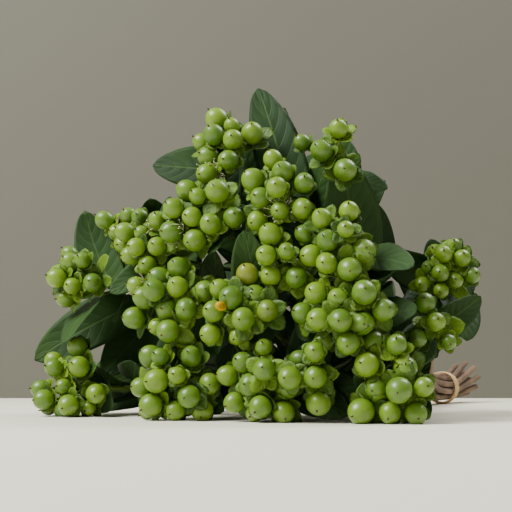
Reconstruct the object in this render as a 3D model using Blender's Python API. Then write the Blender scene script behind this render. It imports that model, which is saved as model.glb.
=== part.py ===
"""A tied bunch of hypericum berry stems, lying on its side, as a set of closed solids.

The cut ends point along +Y and the berries along -Y. +Z is up, and the bunch rests on z = 0 with the
middle of its bounding box over the origin. Lengths below are in millimetres.
"""

import math

import bmesh
import bpy
import numpy as np

MM = 0.001

# Driving dimensions of one stem
BERRY_WIDTH = 12.5
STEM_RADIUS = 2.1
SHOOT_RADIUS = 1.3
PEDICEL_RADIUS = 0.85
BLADE_THICKNESS = 0.7
SHOOT_LENGTH = 128.0  # green wood behind the fork, with its leaf pairs
BRANCH_BACK = 100.0  # behind the main fork, where a side spray leaves
FORK_DEPTH = 27.0  # from the middle of a spray's berries back to the fork that carries them
JOINT_GAP = 0.3  # between two nodes that meet
RESTING_DENT = 0.7  # how far a berry that lies on the table is flattened

# The tie and the cut ends
TIE_X = -12.0
TIE_Y = 395.0
END_Y = 455.0
STEM_PITCH = 4.8  # between neighbouring stems inside the tie
INNER_STEMS = 3
BAND_RADIUS = 0.9
HEAD_REACH = 385.0  # from the tie to the foremost berries
END_SPLAY = 1.55
END_LIFT = 7.0
END_TWIST = math.radians(24)

# One row a spray: name, stem, across, up, set back, berries, spread radius, berry scale
SPRAYS = (
    ("apex", 1, -29, 151, 5, 9, 20, 1.0),
    ("crown", 2, 10, 121, 0, 9, 21, 1.0),
    ("crown_side", 2, 35, 146, 8, 4, 20, 1.0),
    ("shoulder_right", 3, 46, 92, 0, 9, 21, 1.0),
    ("shoulder_right_side", 3, 14, 84, 2, 5, 15, 0.96),
    ("shoulder_left", 4, -34, 112, 0, 9, 20, 1.0),
    ("shoulder_left_side", 4, -70, 96, 5, 8, 19, 0.95),
    ("far_left", 5, -132, 82, 10, 8, 17, 0.95),
    ("far_left_side", 5, -100, 108, 20, 5, 16, 0.9),
    ("low_left", 6, -130, 16, 5, 12, 26, 0.96),
    ("middle_left", 7, -53, 64, 0, 12, 23, 0.98),
    ("low_middle_left", 8, -46, 20, 0, 13, 25, 1.02),
    ("low_middle", 9, 8, 20, 0, 11, 24, 1.0),
    ("centre", 9, -6, 58, 0, 9, 20, 0.98),
    ("middle_right", 10, 53, 55, 0, 12, 23, 1.03),
    ("low_right", 11, 75, 19, 4, 9, 21, 1.06),
    ("low_right_side", 11, 84, 50, 34, 4, 15, 0.9),
    ("far_right", 12, 81, 82, 70, 10, 15, 0.8),
    ("low_centre", 10, 34, 25, 2, 4, 17, 1.0),
)

GOLDEN_ANGLE = math.radians(137.508)


def unit(vector):
    return vector / np.linalg.norm(vector, axis=-1, keepdims=True)


def side_axes(direction):
    """Two unit vectors square to direction and to each other, the first as level as it can be."""
    level = unit(np.cross(direction, (0.0, 0.0, 1.0)))
    return level, np.cross(level, direction)


def square_distances(points, others):
    """Squared distance from every point to every other, by the expanded square, which is quick."""
    squares = (points**2).sum(axis=1)[:, None] + (others**2).sum(axis=1)[None]
    return np.clip(squares - 2 * points @ others.T, 0.0, None)


def hermite(start, leave, end, arrive, count):
    """Points on the cubic from start to end with those end tangents."""
    t = np.linspace(0.0, 1.0, count)[:, None]
    return (
        (2 * t**3 - 3 * t**2 + 1) * start
        + (t**3 - 2 * t**2 + t) * leave
        + (3 * t**2 - 2 * t**3) * end
        + (t**3 - t**2) * arrive
    )


def arc_lengths(path):
    steps = np.linalg.norm(np.diff(path, axis=0), axis=1)
    return np.concatenate([[0.0], np.cumsum(steps)])


def resample(path, distances):
    """Points at these distances along a polyline."""
    along = arc_lengths(path)
    return np.stack([np.interp(distances, along, path[:, axis]) for axis in range(3)], axis=1)


# Bundle: where each stem sits inside the tie

INNER_RING = STEM_PITCH / (2 * math.sin(math.pi / INNER_STEMS))
OUTER_RING = INNER_RING + STEM_PITCH
BAND_RING = OUTER_RING + STEM_RADIUS + 2 * JOINT_GAP + BAND_RADIUS
TIE_Z = BAND_RING + BAND_RADIUS
TIE = np.array([TIE_X, TIE_Y, TIE_Z])
# The three inner places, then the outer ones by their angle in degrees round the tie, seen from the heads
INNER_PLACES = {7: 200, 4: 80, 9: 320}
OUTER_PLACES = {1: 100, 2: 60, 3: 20, 12: -20, 10: -60, 11: -100, 8: -140, 6: 180, 5: 140}


def bundle_point(stem, scale, turn):
    inner = stem in INNER_PLACES
    angle = math.radians((INNER_PLACES if inner else OUTER_PLACES)[stem]) + turn
    ring = (INNER_RING if inner else OUTER_RING) * scale
    return np.array([ring * math.cos(angle), 0.0, ring * math.sin(angle)])


# Sprays: a dome of berries on a fork


def spray_frames():
    """Centre, outward axis and fork of every spray. The centres lie on a sphere about the tie."""
    across = np.array([row[2] for row in SPRAYS], float)
    up = np.array([row[3] for row in SPRAYS], float)
    reach = HEAD_REACH - np.array([row[4] for row in SPRAYS], float)
    forward = np.sqrt(reach**2 - across**2 - (up - TIE_Z) ** 2)
    centres = np.stack([across, TIE_Y - forward, up], axis=1)
    axes = unit(centres - TIE)
    return centres, axes, centres - axes * FORK_DEPTH


def dome_berries(rng, centre, axis, count, spread):
    """A sunflower of points on a shallow dome, with a seeded scatter in depth."""
    level, rise = side_axes(axis)
    k = np.arange(count)
    radius = spread * np.sqrt((k + 0.35) / count)
    angle = k * GOLDEN_ANGLE + rng.uniform(0, 2 * math.pi)
    depth = -(radius**2) / 46.0 + rng.uniform(-4.5, 2.5, count)
    return (
        centre
        + depth[:, None] * axis
        + (radius * np.cos(angle))[:, None] * level
        + (radius * np.sin(angle))[:, None] * rise
    )


def push_apart(points, radii, spray, rounds=260):
    """Moves berries apart until none touch, while each is drawn back towards where it began."""
    home = points.copy()
    other = spray[:, None] != spray[None, :]
    need = radii[:, None] + radii[None, :] + np.where(other, 2.0, 0.9)
    np.fill_diagonal(need, 0.0)
    for _ in range(rounds):
        apart = points[:, None] - points[None]
        distance = np.linalg.norm(apart, axis=2) + 1e-9
        short = np.clip(need - distance, 0.0, None)
        points = points + 0.35 * (apart * (short / distance)[:, :, None]).sum(axis=1)
        points = points + 0.02 * (home - points) * (short.max(axis=1) < 0.3)[:, None]
        points[:, 2] = np.maximum(points[:, 2], radii - RESTING_DENT)
    return points


def make_berries():
    """One row a berry: spray index, centre, radius and the unit vector from its base to its tip."""
    rng = np.random.default_rng(11)
    centres, axes, forks = spray_frames()
    spray, points, radii = [], [], []
    for index, row in enumerate(SPRAYS):
        count = row[5]
        points.append(dome_berries(rng, centres[index], axes[index], count, row[6]))
        radii.append(BERRY_WIDTH / 2 * row[7] * rng.uniform(0.86, 1.04, count))
        spray += [index] * count
    spray = np.array(spray)
    points, radii = np.concatenate(points), np.concatenate(radii)
    points = push_apart(points, radii, spray)
    outward = unit(points - forks[spray])
    tips = unit(outward * 0.75 + axes[spray] * 0.45 + rng.uniform(-0.16, 0.16, (len(points), 3)))
    return spray, points, radii, tips


# Stems: from the cut ends through the tie to the forks

TAIL_POINTS = 9
HEAD_POINTS = 116
SIDE_POINTS = 30
LINE_CLEARANCE = 0.9  # between the faces of two stems outside the tie
BERRY_CLEARANCE = 1.2  # between a stem and another stem's berries
TABLE_CLEARANCE = 1.2  # under stems and leaves


def stem_path(stem, fork, axis):
    """The line of a whole stem, from its cut end to the fork."""
    tie = TIE + bundle_point(stem, 1.0, 0.0)
    end = TIE + bundle_point(stem, END_SPLAY, END_TWIST)
    end = end + np.array([0.0, END_Y - TIE_Y, END_LIFT])
    forward = np.array([0.0, -1.0, 0.0])
    tail = hermite(end, tie - end, tie, forward * 62.0, TAIL_POINTS)
    head = hermite(tie, forward * 300.0, fork, axis * 330.0, HEAD_POINTS)
    return np.concatenate([tail[:-1], head])


def ease_apart(paths, free, radii, owners, balls, ball_radii, allowed, rounds=60):
    """Moves lines sideways where they pass too close to one another or to a ball that isn't their own."""
    sizes = [len(path) for path in paths]
    edges = np.cumsum([0] + sizes)
    points = np.concatenate(paths)
    weight = np.concatenate(free)[:, None]
    radius = np.repeat(radii, sizes)
    owner = np.repeat(owners, sizes)
    line = np.repeat(np.arange(len(paths)), sizes)
    need = radius[:, None] + radius[None] + LINE_CLEARANCE
    need[owner[:, None] == owner[None]] = 0.0
    ball_need = radius[:, None] + ball_radii[None] + BERRY_CLEARANCE
    ball_need[~allowed[line]] = 0.0
    for _ in range(rounds):
        push = np.zeros_like(points)
        for others, reach in ((points, need), (balls, ball_need)):
            close, by = np.nonzero(square_distances(points, others) < reach**2)
            apart = points[close] - others[by]
            distance = np.linalg.norm(apart, axis=1, keepdims=True) + 1e-9
            np.add.at(push, close, 0.35 * apart * (reach[close, by][:, None] / distance - 1))
        for first, last in zip(edges[:-1], edges[1:]):
            for axis in range(3):
                column = np.pad(push[first:last, axis], 4, mode="edge")
                push[first:last, axis] = np.convolve(column, np.ones(9) / 9, mode="valid")
        points = points + np.clip(push * 1.6, -1.0, 1.0) * weight
        points[:, 2] = np.maximum(points[:, 2], radius + TABLE_CLEARANCE)
    return [points[first:last] for first, last in zip(edges[:-1], edges[1:])]


def stem_lines(berries):
    """The line to each spray's fork: a whole stem for its first spray, a branch for its second."""
    spray, points, radii, _ = berries
    _, axes, forks = spray_frames()
    lines = []
    mains = {}
    for index, row in enumerate(SPRAYS):
        stem = row[1]
        if stem not in mains:
            mains[stem] = index
            lines.append(stem_path(stem, forks[index], axes[index]))
            continue
        main = lines[mains[stem]]
        length = arc_lengths(main)[-1]
        root = resample(main, np.array([length - BRANCH_BACK, length - BRANCH_BACK + 4.0]))
        leave = unit(root[1] - root[0])
        reach = np.linalg.norm(forks[index] - root[0])
        lines.append(hermite(root[0], leave * reach, forks[index], axes[index] * reach, SIDE_POINTS))
    is_main = np.array([index in mains.values() for index in range(len(SPRAYS))])
    free = []
    for path, main in zip(lines, is_main):
        held = TAIL_POINTS + 3 if main else 1
        k = np.arange(len(path))
        free.append(np.clip((k - held) / 8.0, 0.0, 1.0) * np.clip((len(path) - 1 - k) / 6.0, 0.0, 1.0))
    radii_of_lines = np.where(is_main, STEM_RADIUS, SHOOT_RADIUS)
    owners = np.array([row[1] for row in SPRAYS])
    allowed = np.arange(len(SPRAYS))[:, None] != spray[None]
    lines = ease_apart(lines, free, radii_of_lines, owners, points, radii, allowed)
    for index in np.flatnonzero(~is_main):
        main = lines[mains[owners[index]]]
        nearest = np.linalg.norm(main - lines[index][0], axis=1).argmin()
        lines[index][0] = main[nearest]
    return lines, mains


# Twigs: a spray's berries in threes on short branches of its fork

TWIG_SHARE = 0.45  # how far along from the fork to its berries a twig divides
BERRIES_A_TWIG = 3


def spray_twigs(berries, index, fork, axis):
    """A list of (where the twig divides, the berries that it carries) for one spray."""
    spray, points, radii, tips = berries
    own = np.flatnonzero(spray == index)
    level, rise = side_axes(axis)
    away = points[own] - fork
    order = np.argsort(np.arctan2(away @ rise, away @ level))
    groups = np.array_split(own[order], max(1, round(len(own) / BERRIES_A_TWIG)))
    return [(fork + TWIG_SHARE * (points[group].mean(axis=0) - fork), group) for group in groups]


def pedicel_line(start, fork, centre, radius, tip, count):
    """From where its twig divides to inside the berry's base."""
    base = centre - tip * radius * 0.9
    reach = np.linalg.norm(base - start)
    return hermite(start, unit(start - fork) * reach, base, tip * reach, count)


# Leaves: opposite pairs on the shoots, each turned clear of what is round it

# The leaves that show most: name, spray, back from the fork, tip, half width, facing, arch
GREAT_LEAVES = (
    ("top", 1, 16, (-22, 80, 185), 14, (0.45, -0.88, 0.1), 0.06),
    ("right", 3, 38, (35, 60, 150), 18.5, (0.45, -0.85, 0.2), 0.08),
    ("right_reaching", 3, 12, (88, 53, 81), 12, (0.35, -0.7, 0.6), 0.10),
    ("upper_left", 0, 12, (-79, 61, 142), 14, (0.3, -0.9, 0.3), 0.05),
    ("left_peak", 8, 12, (-97, 77, 129), 11, (0.4, -0.85, 0.2), 0.05),
    ("left", 7, 12, (-141, 82, 129), 14, (0.75, -0.6, -0.1), -0.10),
    ("left_arch", 7, 38, (-164, 72, 32), 15, (0.35, -0.9, 0.2), 0.12),
    ("left_hanging", 7, 56, (-114, 74, 34), 15, (0.45, -0.8, 0.3), 0.12),
    ("left_small", 6, 3, (-82, 24, 76), 9, (0.3, -0.85, 0.3), 0.05),
    ("far_right", 17, 6, (90, 107, 42), 13, (0.7, -0.6, 0.4), 0.12),
    ("far_right_small", 17, 6, (64, 126, 100), 8, (0.3, -0.9, 0.1), 0.05),
    ("low_right", 12, 12, (52, 22, 17), 13, (0.5, -0.85, 0.05), 0.05),
    ("low_far_right", 16, 6, (84, 52, 14), 11, (0.6, -0.7, 0.2), 0.10),
    ("diagonal", 12, 3, (37, 22, 55), 9, (-0.6, -0.3, 0.7), 0.05),
    ("centre", 13, 12, (-5, 25, 96), 12, (0.3, -0.9, 0.2), 0.08),
)
# Where the bunch is seen from, how far that line of sight is turned, and the outline that its leaves
# keep within there, as slopes across and up
SEEN_FROM = np.array([301.2, -632.0, 28.5])
SEEN_TURN = math.radians(24.5)
OUTLINE = (
    (-0.166, -0.044), (-0.167, -0.001), (-0.159, 0.01), (-0.159, 0.036), (-0.152, 0.047),
    (-0.153, 0.077), (-0.146, 0.09), (-0.135, 0.1), (-0.131, 0.122), (-0.122, 0.123),
    (-0.109, 0.103), (-0.096, 0.115), (-0.076, 0.122), (-0.078, 0.146), (-0.056, 0.161),
    (-0.051, 0.17), (-0.032, 0.18), (-0.014, 0.192), (-0.007, 0.202), (0.004, 0.205),
    (0.023, 0.196), (0.036, 0.186), (0.042, 0.173), (0.052, 0.183), (0.069, 0.177), (0.084, 0.168),
    (0.088, 0.155), (0.095, 0.13), (0.099, 0.103), (0.106, 0.086), (0.121, 0.093), (0.136, 0.097),
    (0.151, 0.089), (0.16, 0.074), (0.164, 0.053), (0.163, 0.02), (0.155, 0.011), (0.134, 0.01),
    (0.128, 0.003), (0.126, -0.027), (0.123, -0.044),
)
HIDDEN_SHARE = 0.85  # of a berry's radius, which no leaf may hide
LEAF_PAIRS = ((12.0, 36.0), (40.0, 52.0), (68.0, 56.0))  # back from the fork, and leaf length
SIDE_PAIRS = ((12.0, 34.0),)
LEAF_ASPECT = 0.26  # half width as a share of length
LEAF_ARCH = 0.09  # rise of the rib over the chord as a share of length
LEAF_CLEARANCE = 2.7  # between the middle surfaces of two leaves
ROOT_ROOM = 6.0  # round its root, where a leaf may be near another
LEAST_PAIR_STEP = 10.0
ROOT_OFFSET = 0.6  # from the middle of the shoot to a leaf's root, inside the wood
BLADE_MARGIN = 1.5  # clear of berries and stems
BLADE_SAMPLE = 3.3  # between the points of a blade that are tested
TURNS = (0, 10, -10, 20, -20, 32, -32, 45, -45)
LEAF_SCALES = (1.0, 0.86, 0.72, 0.6)

BLADE_FOLD = 0.12  # rise of the margins above the rib as a share of half width


def blade_outline(s):
    """Half width along a leaf as a share of its widest: clasping at the base and blunt at the tip."""
    body = s**0.45 * (1 - s) ** 0.62
    widest = 0.42**0.45 * 0.58**0.62
    return 0.05 * (1 - s) + 0.03 + 0.94 * body / widest


def blade_grid(leaf, rows, columns):
    """Points and normals of a leaf's middle surface, arched along its rib and folded a little across it."""
    root, tip, facing, half_width, arch = leaf
    chord = tip - root
    length = np.linalg.norm(chord)
    along = chord / length
    rise = unit(facing - (facing @ along) * along)
    s = np.linspace(0.0, 1.0, rows)[:, None]
    rib = root + s * chord + 4 * arch * length * s * (1 - s) * rise
    heading = unit(along + 4 * arch * (1 - 2 * s) * rise)
    across = unit(np.cross(heading, rise))
    normal = np.cross(across, heading)
    t = np.linspace(-1.0, 1.0, columns)[None, :, None]
    width = half_width * blade_outline(s)
    lift = BLADE_FOLD * (width * normal)[:, None] * (np.abs(t) - 1.0)
    grid = rib[:, None] + (width * across)[:, None] * t + lift
    return grid, np.repeat(normal[:, None], columns, axis=1)


def turned(vector, axis, degrees):
    """A vector turned about a unit axis."""
    angle = math.radians(degrees)
    along = (axis @ vector) * axis
    return along + (vector - along) * math.cos(angle) + np.cross(axis, vector) * math.sin(angle)


def seen(points):
    """Points as slopes across and up and distances ahead, from the front and slightly to one side."""
    away = points - SEEN_FROM
    ahead = away @ (-math.sin(SEEN_TURN), math.cos(SEEN_TURN), 0.0)
    across = away @ (math.cos(SEEN_TURN), math.sin(SEEN_TURN), 0.0)
    return np.stack([across, away[:, 2]], axis=1) / ahead[:, None], ahead


def hides_berry(slopes, ahead, berries):
    """Whether any of these seen points lies in front of a berry's middle."""
    places, depths = seen(berries[1])
    wide = HIDDEN_SHARE * berries[2] / depths
    return ((square_distances(slopes, places) < wide**2) & (ahead[:, None] < depths)).any()


def inside_outline(slopes):
    """Whether seen points all lie within the bunch's outline."""
    across, up = slopes.T
    first = np.array(OUTLINE)
    after = np.roll(first, -1, axis=0)
    crosses = (first[:, 1] > up[:, None]) != (after[:, 1] > up[:, None])
    slope = (after[:, 0] - first[:, 0]) / (after[:, 1] - first[:, 1] + 1e-12)
    beyond = across[:, None] < first[:, 0] + slope * (up[:, None] - first[:, 1])
    return ((crosses & beyond).sum(axis=1) % 2 == 1).all()


def fit_leaf(leaf, balls, berries):
    """The first of a list of turned and shortened copies of a leaf that misses everything, or None."""
    root, tip, facing, half_width, arch = leaf
    points, radii, owners = balls
    reach = np.linalg.norm(tip - root) * 1.15
    distance = np.linalg.norm(points - root, axis=1)
    near = (distance < reach + radii) & (distance > owners)
    points, radii = points[near], radii[near]
    turns = sorted(((a, b) for a in TURNS for b in TURNS), key=lambda pair: math.hypot(*pair))
    for scale in LEAF_SCALES:
        for swing, lift in turns:
            chord = (tip - root) * scale
            across = unit(np.cross(chord, facing))
            chord = turned(turned(chord, across, lift), facing, swing)
            trial = (root, root + chord, turned(facing, across, lift), half_width * scale, arch)
            rows = max(5, round(np.linalg.norm(chord) / BLADE_SAMPLE))
            columns = max(3, round(2 * half_width * scale / BLADE_SAMPLE) | 1)
            cloud = blade_grid(trial, rows, columns)[0].reshape(-1, 3)
            slopes, ahead = seen(cloud)
            low = cloud[:, 2].min() < TABLE_CLEARANCE
            if low or not inside_outline(slopes) or hides_berry(slopes, ahead, berries):
                continue
            if (square_distances(cloud, points) > radii**2).all():
                return trial
    return None


def first_balls(berries, lines, mains):
    """Balls that a leaf has to miss: centre, radius, and how near its own root one is left out."""
    spray, points, radii, tips = berries
    _, axes, forks = spray_frames()
    centres, sizes, skips = [points], [radii * 1.06 + BLADE_MARGIN], [np.zeros(len(points))]
    for index, line in enumerate(lines):
        main = index in mains.values()
        count = int(arc_lengths(line)[-1] / 2.5)
        along = resample(line, np.linspace(0.0, arc_lengths(line)[-1], count))
        centres.append(along)
        sizes.append(np.full(count, (STEM_RADIUS if main else SHOOT_RADIUS) + BLADE_MARGIN - 0.4))
        skips.append(np.full(count, 8.0))
        for start, group in spray_twigs(berries, index, forks[index], axes[index]):
            twig = np.linspace(forks[index], start, 6)
            parts = [twig] + [
                pedicel_line(start, forks[index], points[k], radii[k], tips[k], 7) for k in group
            ]
            twigs = np.concatenate(parts)
            centres.append(twigs)
            sizes.append(np.full(len(twigs), PEDICEL_RADIUS + BLADE_MARGIN))
            skips.append(np.full(len(twigs), 5.0))
    return [np.concatenate(values) for values in (centres, sizes, skips)]


def make_leaves(berries, lines, mains):
    """Every leaf as (spray, (root, tip, facing, half width, arch)): great ones, then pairs by rule."""
    rng = np.random.default_rng(29)
    balls = first_balls(berries, lines, mains)
    leaves = []

    def root_and_heading(index, back):
        length = arc_lengths(lines[index])[-1]
        pair = resample(lines[index], np.array([length - back, length - back + 2.0]))
        return pair[0], unit(pair[1] - pair[0])

    def place(index, leaf):
        fitted = fit_leaf(leaf, balls, berries)
        if fitted is None:
            return
        leaves.append((index, fitted))
        rows = max(5, round(np.linalg.norm(fitted[1] - fitted[0]) / BLADE_SAMPLE))
        columns = max(3, round(2 * fitted[3] / BLADE_SAMPLE) | 1)
        cloud = blade_grid(fitted, rows, columns)[0].reshape(-1, 3)
        balls[0] = np.concatenate([balls[0], cloud])
        balls[1] = np.concatenate([balls[1], np.full(len(cloud), LEAF_CLEARANCE)])
        balls[2] = np.concatenate([balls[2], np.full(len(cloud), ROOT_ROOM)])

    levels = {index: [] for index in range(len(SPRAYS))}
    for _, index, back, tip, half_width, facing, arch in GREAT_LEAVES:
        root, heading = root_and_heading(index, back)
        tip, facing = np.array(tip, float), unit(np.array(facing, float))
        side = (tip - root) - ((tip - root) @ heading) * heading
        place(index, (root + ROOT_OFFSET * unit(side), tip, facing, half_width, arch))
        levels[index].append((float(back), np.linalg.norm(tip - root), -unit(side)))
    for level in range(len(LEAF_PAIRS)):
        for index in range(len(SPRAYS)):
            pairs = LEAF_PAIRS if index in mains.values() else SIDE_PAIRS
            if level >= len(pairs):
                continue
            back, length = pairs[level]
            stretch = rng.uniform(0.88, 1.08, 2)
            if min((abs(back - other) for other, _, _ in levels[index]), default=99) < LEAST_PAIR_STEP:
                continue
            _, heading = root_and_heading(index, back)
            across, rise = side_axes(heading)
            turn = math.radians(90 * level + 40 + rng.uniform(-20, 20))
            side = across * math.cos(turn) + rise * math.sin(turn)
            levels[index].append((back, length * stretch[0], side))
            levels[index].append((back, length * stretch[1], -side))
    for index in range(len(SPRAYS)):
        for back, length, side in levels[index]:
            root, heading = root_and_heading(index, back)
            outward = unit((root - TIE) * (1.0, 0.0, 1.0))
            tilt = math.radians(38 + 14 * max(0.0, side @ outward))
            root = root + ROOT_OFFSET * side
            tip = root + length * (math.cos(tilt) * heading + math.sin(tilt) * side)
            facing = math.sin(tilt) * heading - math.cos(tilt) * side
            place(index, (root, tip, facing, LEAF_ASPECT * length, LEAF_ARCH))
    return leaves


# Meshes: every piece below is a closed surface, as (points, triangles)

STEM_SIDES = 6
SHOOT_SIDES = 5
TWIG_SIDES = 4
STALK_SIDES = 3
# A berry from its base to its tip: place along its axis and half width, as shares of its radius
BERRY_PROFILE = ((-0.7, 0.82), (0.0, 1.04), (0.68, 0.78), (1.1, 0.0))
BERRY_CYCLE = 9  # of this many berries in a row, the skipped ones are left to the finished surface
BERRIES_SKIPPED = (1, 3, 5, 7)
STEM_SPAN = 40.0
SHOOT_SPAN = 22.0
LEAF_ROWS = 6
LEAF_COLUMNS = 2
BAND_SEGMENTS = 24
# The band's section: place along the stems and out from the middle of its wire, for three turns
BAND_SECTION = ((-3.0, 0.0), (-2.4, 0.85), (-1.6, 0.85), (-1.0, 0.4), (-0.4, 0.9), (0.4, 0.9))
BAND_SECTION += ((1.0, 0.4), (1.6, 0.85), (2.4, 0.85), (3.0, 0.0), (1.9, -0.8), (-1.9, -0.8))
BAND_SLANT = 1.6


def cap(count, first, flip):
    """Triangles that close a ring of count points."""
    k = np.arange(1, count - 1)
    rim = (k + 1, k) if flip else (k, k + 1)
    return first + np.stack([np.zeros_like(k), *rim], axis=1)


def sleeve(rings, count, first=0):
    """Triangles between successive rings of count points."""
    k, after = np.arange(count), (np.arange(count) + 1) % count
    faces = []
    for ring in range(rings - 1):
        low, high = first + ring * count, first + (ring + 1) * count
        faces.append(np.stack([low + k, high + k, high + after], axis=1))
        faces.append(np.stack([low + k, high + after, low + after], axis=1))
    return np.concatenate(faces)


def ring_points(path, radii, sides):
    """Rings of points square to a path, carried along it without twist."""
    heading = unit(np.gradient(path, axis=0))
    across = np.cross(heading[0], (0.31, 0.17, 0.93))
    angle = np.arange(sides) / sides * 2 * math.pi
    rings = []
    for centre, ahead, radius in zip(path, heading, np.broadcast_to(radii, len(path))):
        across = unit(across - (across @ ahead) * ahead)
        up = np.cross(ahead, across)
        rings.append(centre + radius * (np.cos(angle)[:, None] * across + np.sin(angle)[:, None] * up))
    return rings


def tube(path, radii, sides):
    """A closed tube along a path, with flat ends."""
    last = sides * (len(path) - 1)
    faces = [sleeve(len(path), sides), cap(sides, 0, False), cap(sides, last, True)]
    return np.concatenate(ring_points(path, radii, sides)), np.concatenate(faces)


def stalked_berry(start, fork, centre, radius, tip):
    """One stalk and its berry as a single turned surface on a bent line.

    The stalk has few sides, and its last ring opens into twice as many for the berry.
    """
    stalk = pedicel_line(start, fork, centre, radius, tip, 3)
    along, wide = np.array(BERRY_PROFILE).T
    body = centre + (along * radius)[:, None] * tip
    radii = np.concatenate([[PEDICEL_RADIUS] * 3, wide * radius])
    rings = ring_points(np.concatenate([stalk, body]), radii, 2 * STALK_SIDES)
    thin = [ring[::2] for ring in rings[:3]]
    points = np.concatenate(thin + rings[3:-1] + [body[-1:]])
    base, wide_rings = 2 * STALK_SIDES, len(body) - 1
    first = 3 * STALK_SIDES
    k, after = np.arange(STALK_SIDES), (np.arange(STALK_SIDES) + 1) % STALK_SIDES
    even, odd, following = first + 2 * k, first + 2 * k + 1, first + 2 * after
    opening = [
        np.stack([base + k, even, odd], axis=1),
        np.stack([base + k, odd, base + after], axis=1),
        np.stack([base + after, odd, following], axis=1),
    ]
    sides = 2 * STALK_SIDES
    k = np.arange(sides)
    last = first + sides * (wide_rings - 1)
    point = np.stack([last + k, np.full(sides, last + sides), last + (k + 1) % sides], axis=1)
    faces = [sleeve(3, STALK_SIDES), cap(STALK_SIDES, 0, False), *opening]
    faces += [sleeve(wide_rings, sides, first), point]
    return points, np.concatenate(faces)


def blade_mesh(leaf):
    """A leaf blade of even thickness; both faces and the rim are split into triangles alike."""
    grid, normal = blade_grid(leaf, LEAF_ROWS, LEAF_COLUMNS)
    half = BLADE_THICKNESS / 2
    points = np.concatenate([(grid + half * normal).reshape(-1, 3), (grid - half * normal).reshape(-1, 3)])
    under = LEAF_ROWS * LEAF_COLUMNS
    place = np.arange(under).reshape(LEAF_ROWS, LEAF_COLUMNS)
    a, b = place[:-1, :-1].ravel(), place[:-1, 1:].ravel()
    c, d = place[1:, 1:].ravel(), place[1:, :-1].ravel()
    top = np.concatenate([np.stack([a, b, c], 1), np.stack([a, c, d], 1)])
    loop = np.concatenate([place[0, :], place[1:, -1], place[-1, -2::-1], place[-2:0:-1, 0]])
    after = np.roll(loop, -1)
    rim = np.concatenate(
        [np.stack([loop, loop + under, after + under], 1), np.stack([loop, after + under, after], 1)]
    )
    return points, np.concatenate([top, top[:, ::-1] + under, rim])


def facing_out(piece):
    """The same surface with its triangles turned so that it encloses a positive volume."""
    points, faces = piece
    a, b, c = (points[faces[:, k]] - points.mean(axis=0) for k in range(3))
    volume = (a * np.cross(b, c)).sum() / 6
    return points, faces if volume > 0 else faces[:, ::-1]


# Objects


def remove_everything():
    for old in list(bpy.data.objects):
        bpy.data.objects.remove(old, do_unlink=True)


def make_material(name, colour, roughness, weight_of_coat=0.0):
    material = bpy.data.materials.new(name)
    material.use_nodes = True
    shader = material.node_tree.nodes["Principled BSDF"]
    shader.inputs["Base Color"].default_value = (*colour, 1.0)
    shader.inputs["Roughness"].default_value = roughness
    shader.inputs["Metallic"].default_value = 0.0
    shader.inputs["Coat Weight"].default_value = weight_of_coat
    return material


def make_object(name, piece):
    """A mesh object in metres from one closed piece in millimetres."""
    points, faces = facing_out(piece)
    mesh = bpy.data.meshes.new(name)
    mesh.from_pydata((points * MM).tolist(), [], faces.tolist())
    mesh.update()
    body = bpy.data.objects.new(name, mesh)
    bpy.context.scene.collection.objects.link(body)
    return body


def apply_boolean(body, operation, others):
    """Joins to, or cuts from, a body every object of a collection, which is then removed."""
    modifier = body.modifiers.new(operation.lower(), "BOOLEAN")
    modifier.operation = operation
    modifier.operand_type = "COLLECTION"
    modifier.collection = others
    modifier.solver = "MANIFOLD"
    evaluated = body.evaluated_get(bpy.context.evaluated_depsgraph_get())
    finished = bpy.data.meshes.new_from_object(evaluated)
    body.modifiers.clear()
    body.data = finished
    for helper in list(others.objects):
        bpy.data.objects.remove(helper, do_unlink=True)
    bpy.data.collections.remove(others)


def gather(pieces):
    """A collection of helper objects."""
    group = bpy.data.collections.new("helpers")
    bpy.context.scene.collection.children.link(group)
    for number, piece in enumerate(pieces):
        helper = make_object(f"helper_{number}", piece)
        bpy.context.scene.collection.objects.unlink(helper)
        group.objects.link(helper)
    return group


def shell_volume(faces):
    return sum(face.verts[0].co.dot(face.verts[1].co.cross(face.verts[2].co)) for face in faces) / 6


def keep_outer_shell(body):
    """Drops sealed hollows and loose scraps: only the largest connected surface stays."""
    shape = bmesh.new()
    shape.from_mesh(body.data)
    bmesh.ops.triangulate(shape, faces=shape.faces[:])
    left = set(shape.faces)
    shells = []
    while left:
        todo = [left.pop()]
        shell = []
        while todo:
            face = todo.pop()
            shell.append(face)
            for edge in face.edges:
                for neighbour in edge.link_faces:
                    if neighbour in left:
                        left.remove(neighbour)
                        todo.append(neighbour)
        shells.append(shell)
    shells.sort(key=shell_volume, reverse=True)
    scraps = [face for shell in shells[1:] for face in shell]
    bmesh.ops.delete(shape, geom=scraps, context="FACES")
    shape.to_mesh(body.data)
    shape.free()


def box(low, high):
    """A closed box between two corners."""
    sides = list(zip(low, high))
    points = np.array([[x, y, z] for x in sides[0] for y in sides[1] for z in sides[2]])
    quads = ((0, 1, 3, 2), (4, 6, 7, 5), (0, 4, 5, 1), (2, 3, 7, 6), (0, 2, 6, 4), (1, 5, 7, 3))
    return points, np.array([f for a, b, c, d in quads for f in ((a, b, c), (a, c, d))])


def fuse(name, pieces, material):
    """One solid from pieces that overlap, cut off flat where it lies on the table."""
    body = make_object(name, pieces[0])
    apply_boolean(body, "UNION", gather(pieces[1:]))
    lowest = min(vertex.co.z for vertex in body.data.vertices)
    if lowest < 0.0:
        table = box((-300.0, -100.0, -20.0), (300.0, 600.0, 0.0))
        apply_boolean(body, "DIFFERENCE", gather([table]))
    keep_outer_shell(body)
    finish(body, material)
    return body


def finish(body, material):
    body.data.materials.clear()
    body.data.materials.append(material)
    body.data.shade_smooth()


# The nodes


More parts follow.
